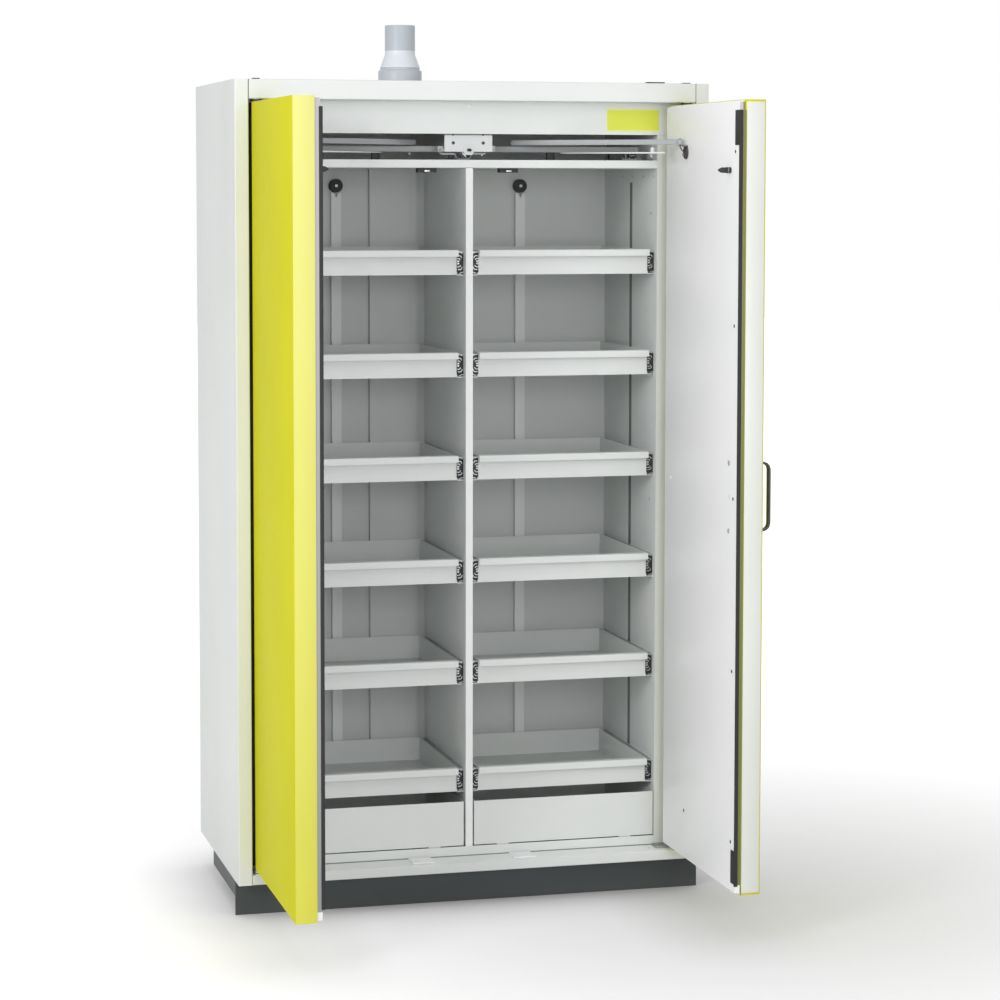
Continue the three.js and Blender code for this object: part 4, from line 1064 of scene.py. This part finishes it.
# Arm joints: an oval lug on each door takes the arm's pin, and a bent link steadies it.
# Under each arm a pale grey spring leaf gets thinner towards the rail, with a round nut on it.
leaf_coat = powder_coat("leaf_coat", "D4D7D7", "CCD0D0", gloss=0.4)
arm_way = Vector((-0.8029, 0.5961, 0))
panel_inner = 0.4937
arm_pin_x, arm_pin_y, arm_pin_z = 0.480, -0.1719, 1.8925
arm_pin_radius = 0.0032
lug_y, lug_z = -0.1815, 1.8758
lug_radius = 0.0154
lug_tallness = 1.05
link_radius = 0.0012
link_bend = (
    (0.4800, -0.1700, 1.8945), (0.4806, -0.1712, 1.8905), (0.4836, -0.1722, 1.8830),
    (0.4868, -0.1730, 1.8795), (0.4900, -0.1742, 1.8860),
)
hub_out, hub_y, hub_z = 0.0044, -0.1728, 1.8705
hub_radius = 0.0034
bar_out = 0.0090
bar_front, bar_rear = -0.1930, -0.1700
leaf_z = 1.8753
leaf_root, leaf_tip = 0.038, 0.310
leaf_half_width, leaf_half_thick = 0.0060, 0.0021
tip_share = 0.4
nut_along, nut_radius = 0.0710, 0.0052
hook_low, hook_top = 1.8645, 1.8662
for name, side in (("left", -1), ("right", 1)):
    door_face = side * panel_inner
    pin = Vector((side * arm_pin_x, arm_pin_y, 0))
    lug = bmesh.new()
    turned(lug, [
        (0, 0), (lug_radius - 0.0004, 0), (lug_radius, 0.0012), (lug_radius, 0.0034),
        (lug_radius - 0.0010, 0.0044), (0, 0.0046),
    ], (door_face, lug_y, lug_z), (door_face - side, lug_y, lug_z), 48)
    bmesh.ops.scale(
        lug, vec=(1, 1, lug_tallness), verts=lug.verts,
        space=Matrix.Translation((0, 0, -lug_z)),
    )
    turned(lug, [
        (0, 0), (arm_pin_radius, 0), (arm_pin_radius, 0.0170), (arm_pin_radius - 0.0006, 0.0176),
        (0, 0.0176),
    ], (pin.x, pin.y, arm_pin_z), (pin.x, pin.y, 2.0), 24)
    bend = [Vector((side * x, y, z)) for x, y, z in link_bend]
    for a, b in zip(bend, bend[1:]):
        length = (b - a).length
        turned(lug, [
            (0, -0.0011), (link_radius - 0.0003, -0.0008), (link_radius, 0), (link_radius, length),
            (link_radius - 0.0003, length + 0.0008), (0, length + 0.0011),
        ], a, b, 16)
    finished(
        f"{name}_arm_lug", lug, gun_metal, f"{name}_door", [f"{name}_arm_bracket"],
    )
    hub = bmesh.new()
    hub_x = door_face - side * hub_out
    turned(hub, [
        (0, 0), (hub_radius, 0), (hub_radius, 0.0022), (hub_radius - 0.0007, 0.0030), (0, 0.0032),
    ], (hub_x, hub_y, hub_z), (hub_x - side, hub_y, hub_z), 24)
    x0, x1 = sorted((door_face, door_face - side * bar_out))
    slab(hub, (x0, bar_front, lug_z + 0.0146), (x1, bar_rear, lug_z + 0.0184), 0.0012)
    finished(f"{name}_arm_hub", hub, dull_zinc, f"{name}_door")

    leaf = bmesh.new()
    slab(
        leaf, (leaf_root, -leaf_half_width, leaf_z - leaf_half_thick),
        (leaf_tip, leaf_half_width, leaf_z + leaf_half_thick), 0.0006,
    )
    thin_end = [v for v in leaf.verts if v.co.x > leaf_tip / 2]
    bmesh.ops.scale(
        leaf, vec=(1, 1, tip_share), verts=thin_end, space=Matrix.Translation((0, 0, -leaf_z)),
    )
    turned(leaf, [
        (0, 0), (nut_radius - 0.0002, 0), (nut_radius, 0.0010), (nut_radius - 0.0002, 0.0074),
        (nut_radius - 0.0010, 0.0100), (nut_radius - 0.0026, 0.0118), (0, 0.0124),
    ], (nut_along, 0, leaf_z + 0.0018), (nut_along, 0, 2.0), 28)
    slab(leaf, (0.0740, -0.0040, hook_low), (0.0768, -0.0020, leaf_z), 0.0008)
    slab(leaf, (0.0705, -0.0040, hook_low), (0.0768, -0.0020, hook_top), 0.0008)
    turn = math.atan2(arm_way.y, arm_way.x * side)
    bmesh.ops.transform(
        leaf, matrix=Matrix.Translation(pin) @ Matrix.Rotation(turn, 4, "Z"), verts=leaf.verts,
    )
    finished(f"{name}_spring_leaf", leaf, leaf_coat, f"{name}_arm")


# Release block and catches: moulded pieces, the block with a pin and a cross head on one base.
# Grey ribs, a base strip and a folded spring lie on its front, and a bright insert on each ceiling
# catch. The two plates on the sill, opposite the catches, are steel in a white coat.
paint_nodes(black_plastic, ["left_ceiling_catch", "right_ceiling_catch", "closer_release"])
release_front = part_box("closer_release")[0].y
rib_width = 0.0042
sunk = 0.002
spring = [(0.4240, 1.8735), (0.4290, 1.8700), (0.4340, 1.8720), (0.4400, 1.8700)]
rib_blocks = [
    (0.4043, 0.4575, 1.8592, 1.8626, 0.0016, 0.0006),
    (0.4120, 0.4152, 1.8625, 1.8735, 0.0020, 0.0008),
]
for x in (0.4215, 0.4385, 0.4480):
    rib_blocks.append((x, x + rib_width, 1.8626, 1.8648, 0.0016, 0.0008))
ribs = bmesh.new()
for x0, x1, z0, z1, proud, rounding in rib_blocks:
    slab(ribs, (x0, release_front - proud, z0), (x1, release_front + sunk, z1), rounding)
folded_strip(ribs, spring, release_front - 0.0010, release_front + 0.0010, 0.0016)
finished("release_ribs", ribs, dull_zinc, "casing")

insert_near, insert_far = 0.0975, 0.1115
catch_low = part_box("right_ceiling_catch")[0]
inserts = bmesh.new()
for side in (-1, 1):
    x0, x1 = from_middle(side, insert_near, insert_far)
    slab(
        inserts, (x0, catch_low.y - 0.0006, catch_low.z + 0.0016),
        (x1, catch_low.y + 0.004, catch_low.z + 0.0062), 0.0008,
    )
finished("catch_inserts", inserts, zinc, "casing")
strike_coat = powder_coat("strike_coat", "F8F9F9", "F1F3F3", gloss=0.36)
paint_nodes(strike_coat, ["left_sill_plate", "right_sill_plate"])


# Plinth and feet: the plinth is sheet in an anthracite coat, the feet are moulded black plastic.
# The plinth stands on the floor, so a little dust lies along its lower edge.
dust_reach, dust_share = 0.03, 0.10
plinth_coat, place = new_finish("plinth_coat", IOR=1.5)
patches = place.cloud(3.0, 3.0).spread(0.3, 0.7)
dust = place.parts()[2].spread(0.0, dust_reach, dust_share, 0.0)
feed(
    plinth_coat, dust.tint(patches.tint(rgb("3F4445"), rgb("3A3F40")), rgb("77736C")),
    patches * 0.06 + 0.46, orange_peel(place), 0.00004,
)
paint_nodes(plinth_coat, ["plinth"])
paint_nodes(black_plastic, [
    "left_front_foot", "left_rear_foot", "right_front_foot", "right_rear_foot",
])
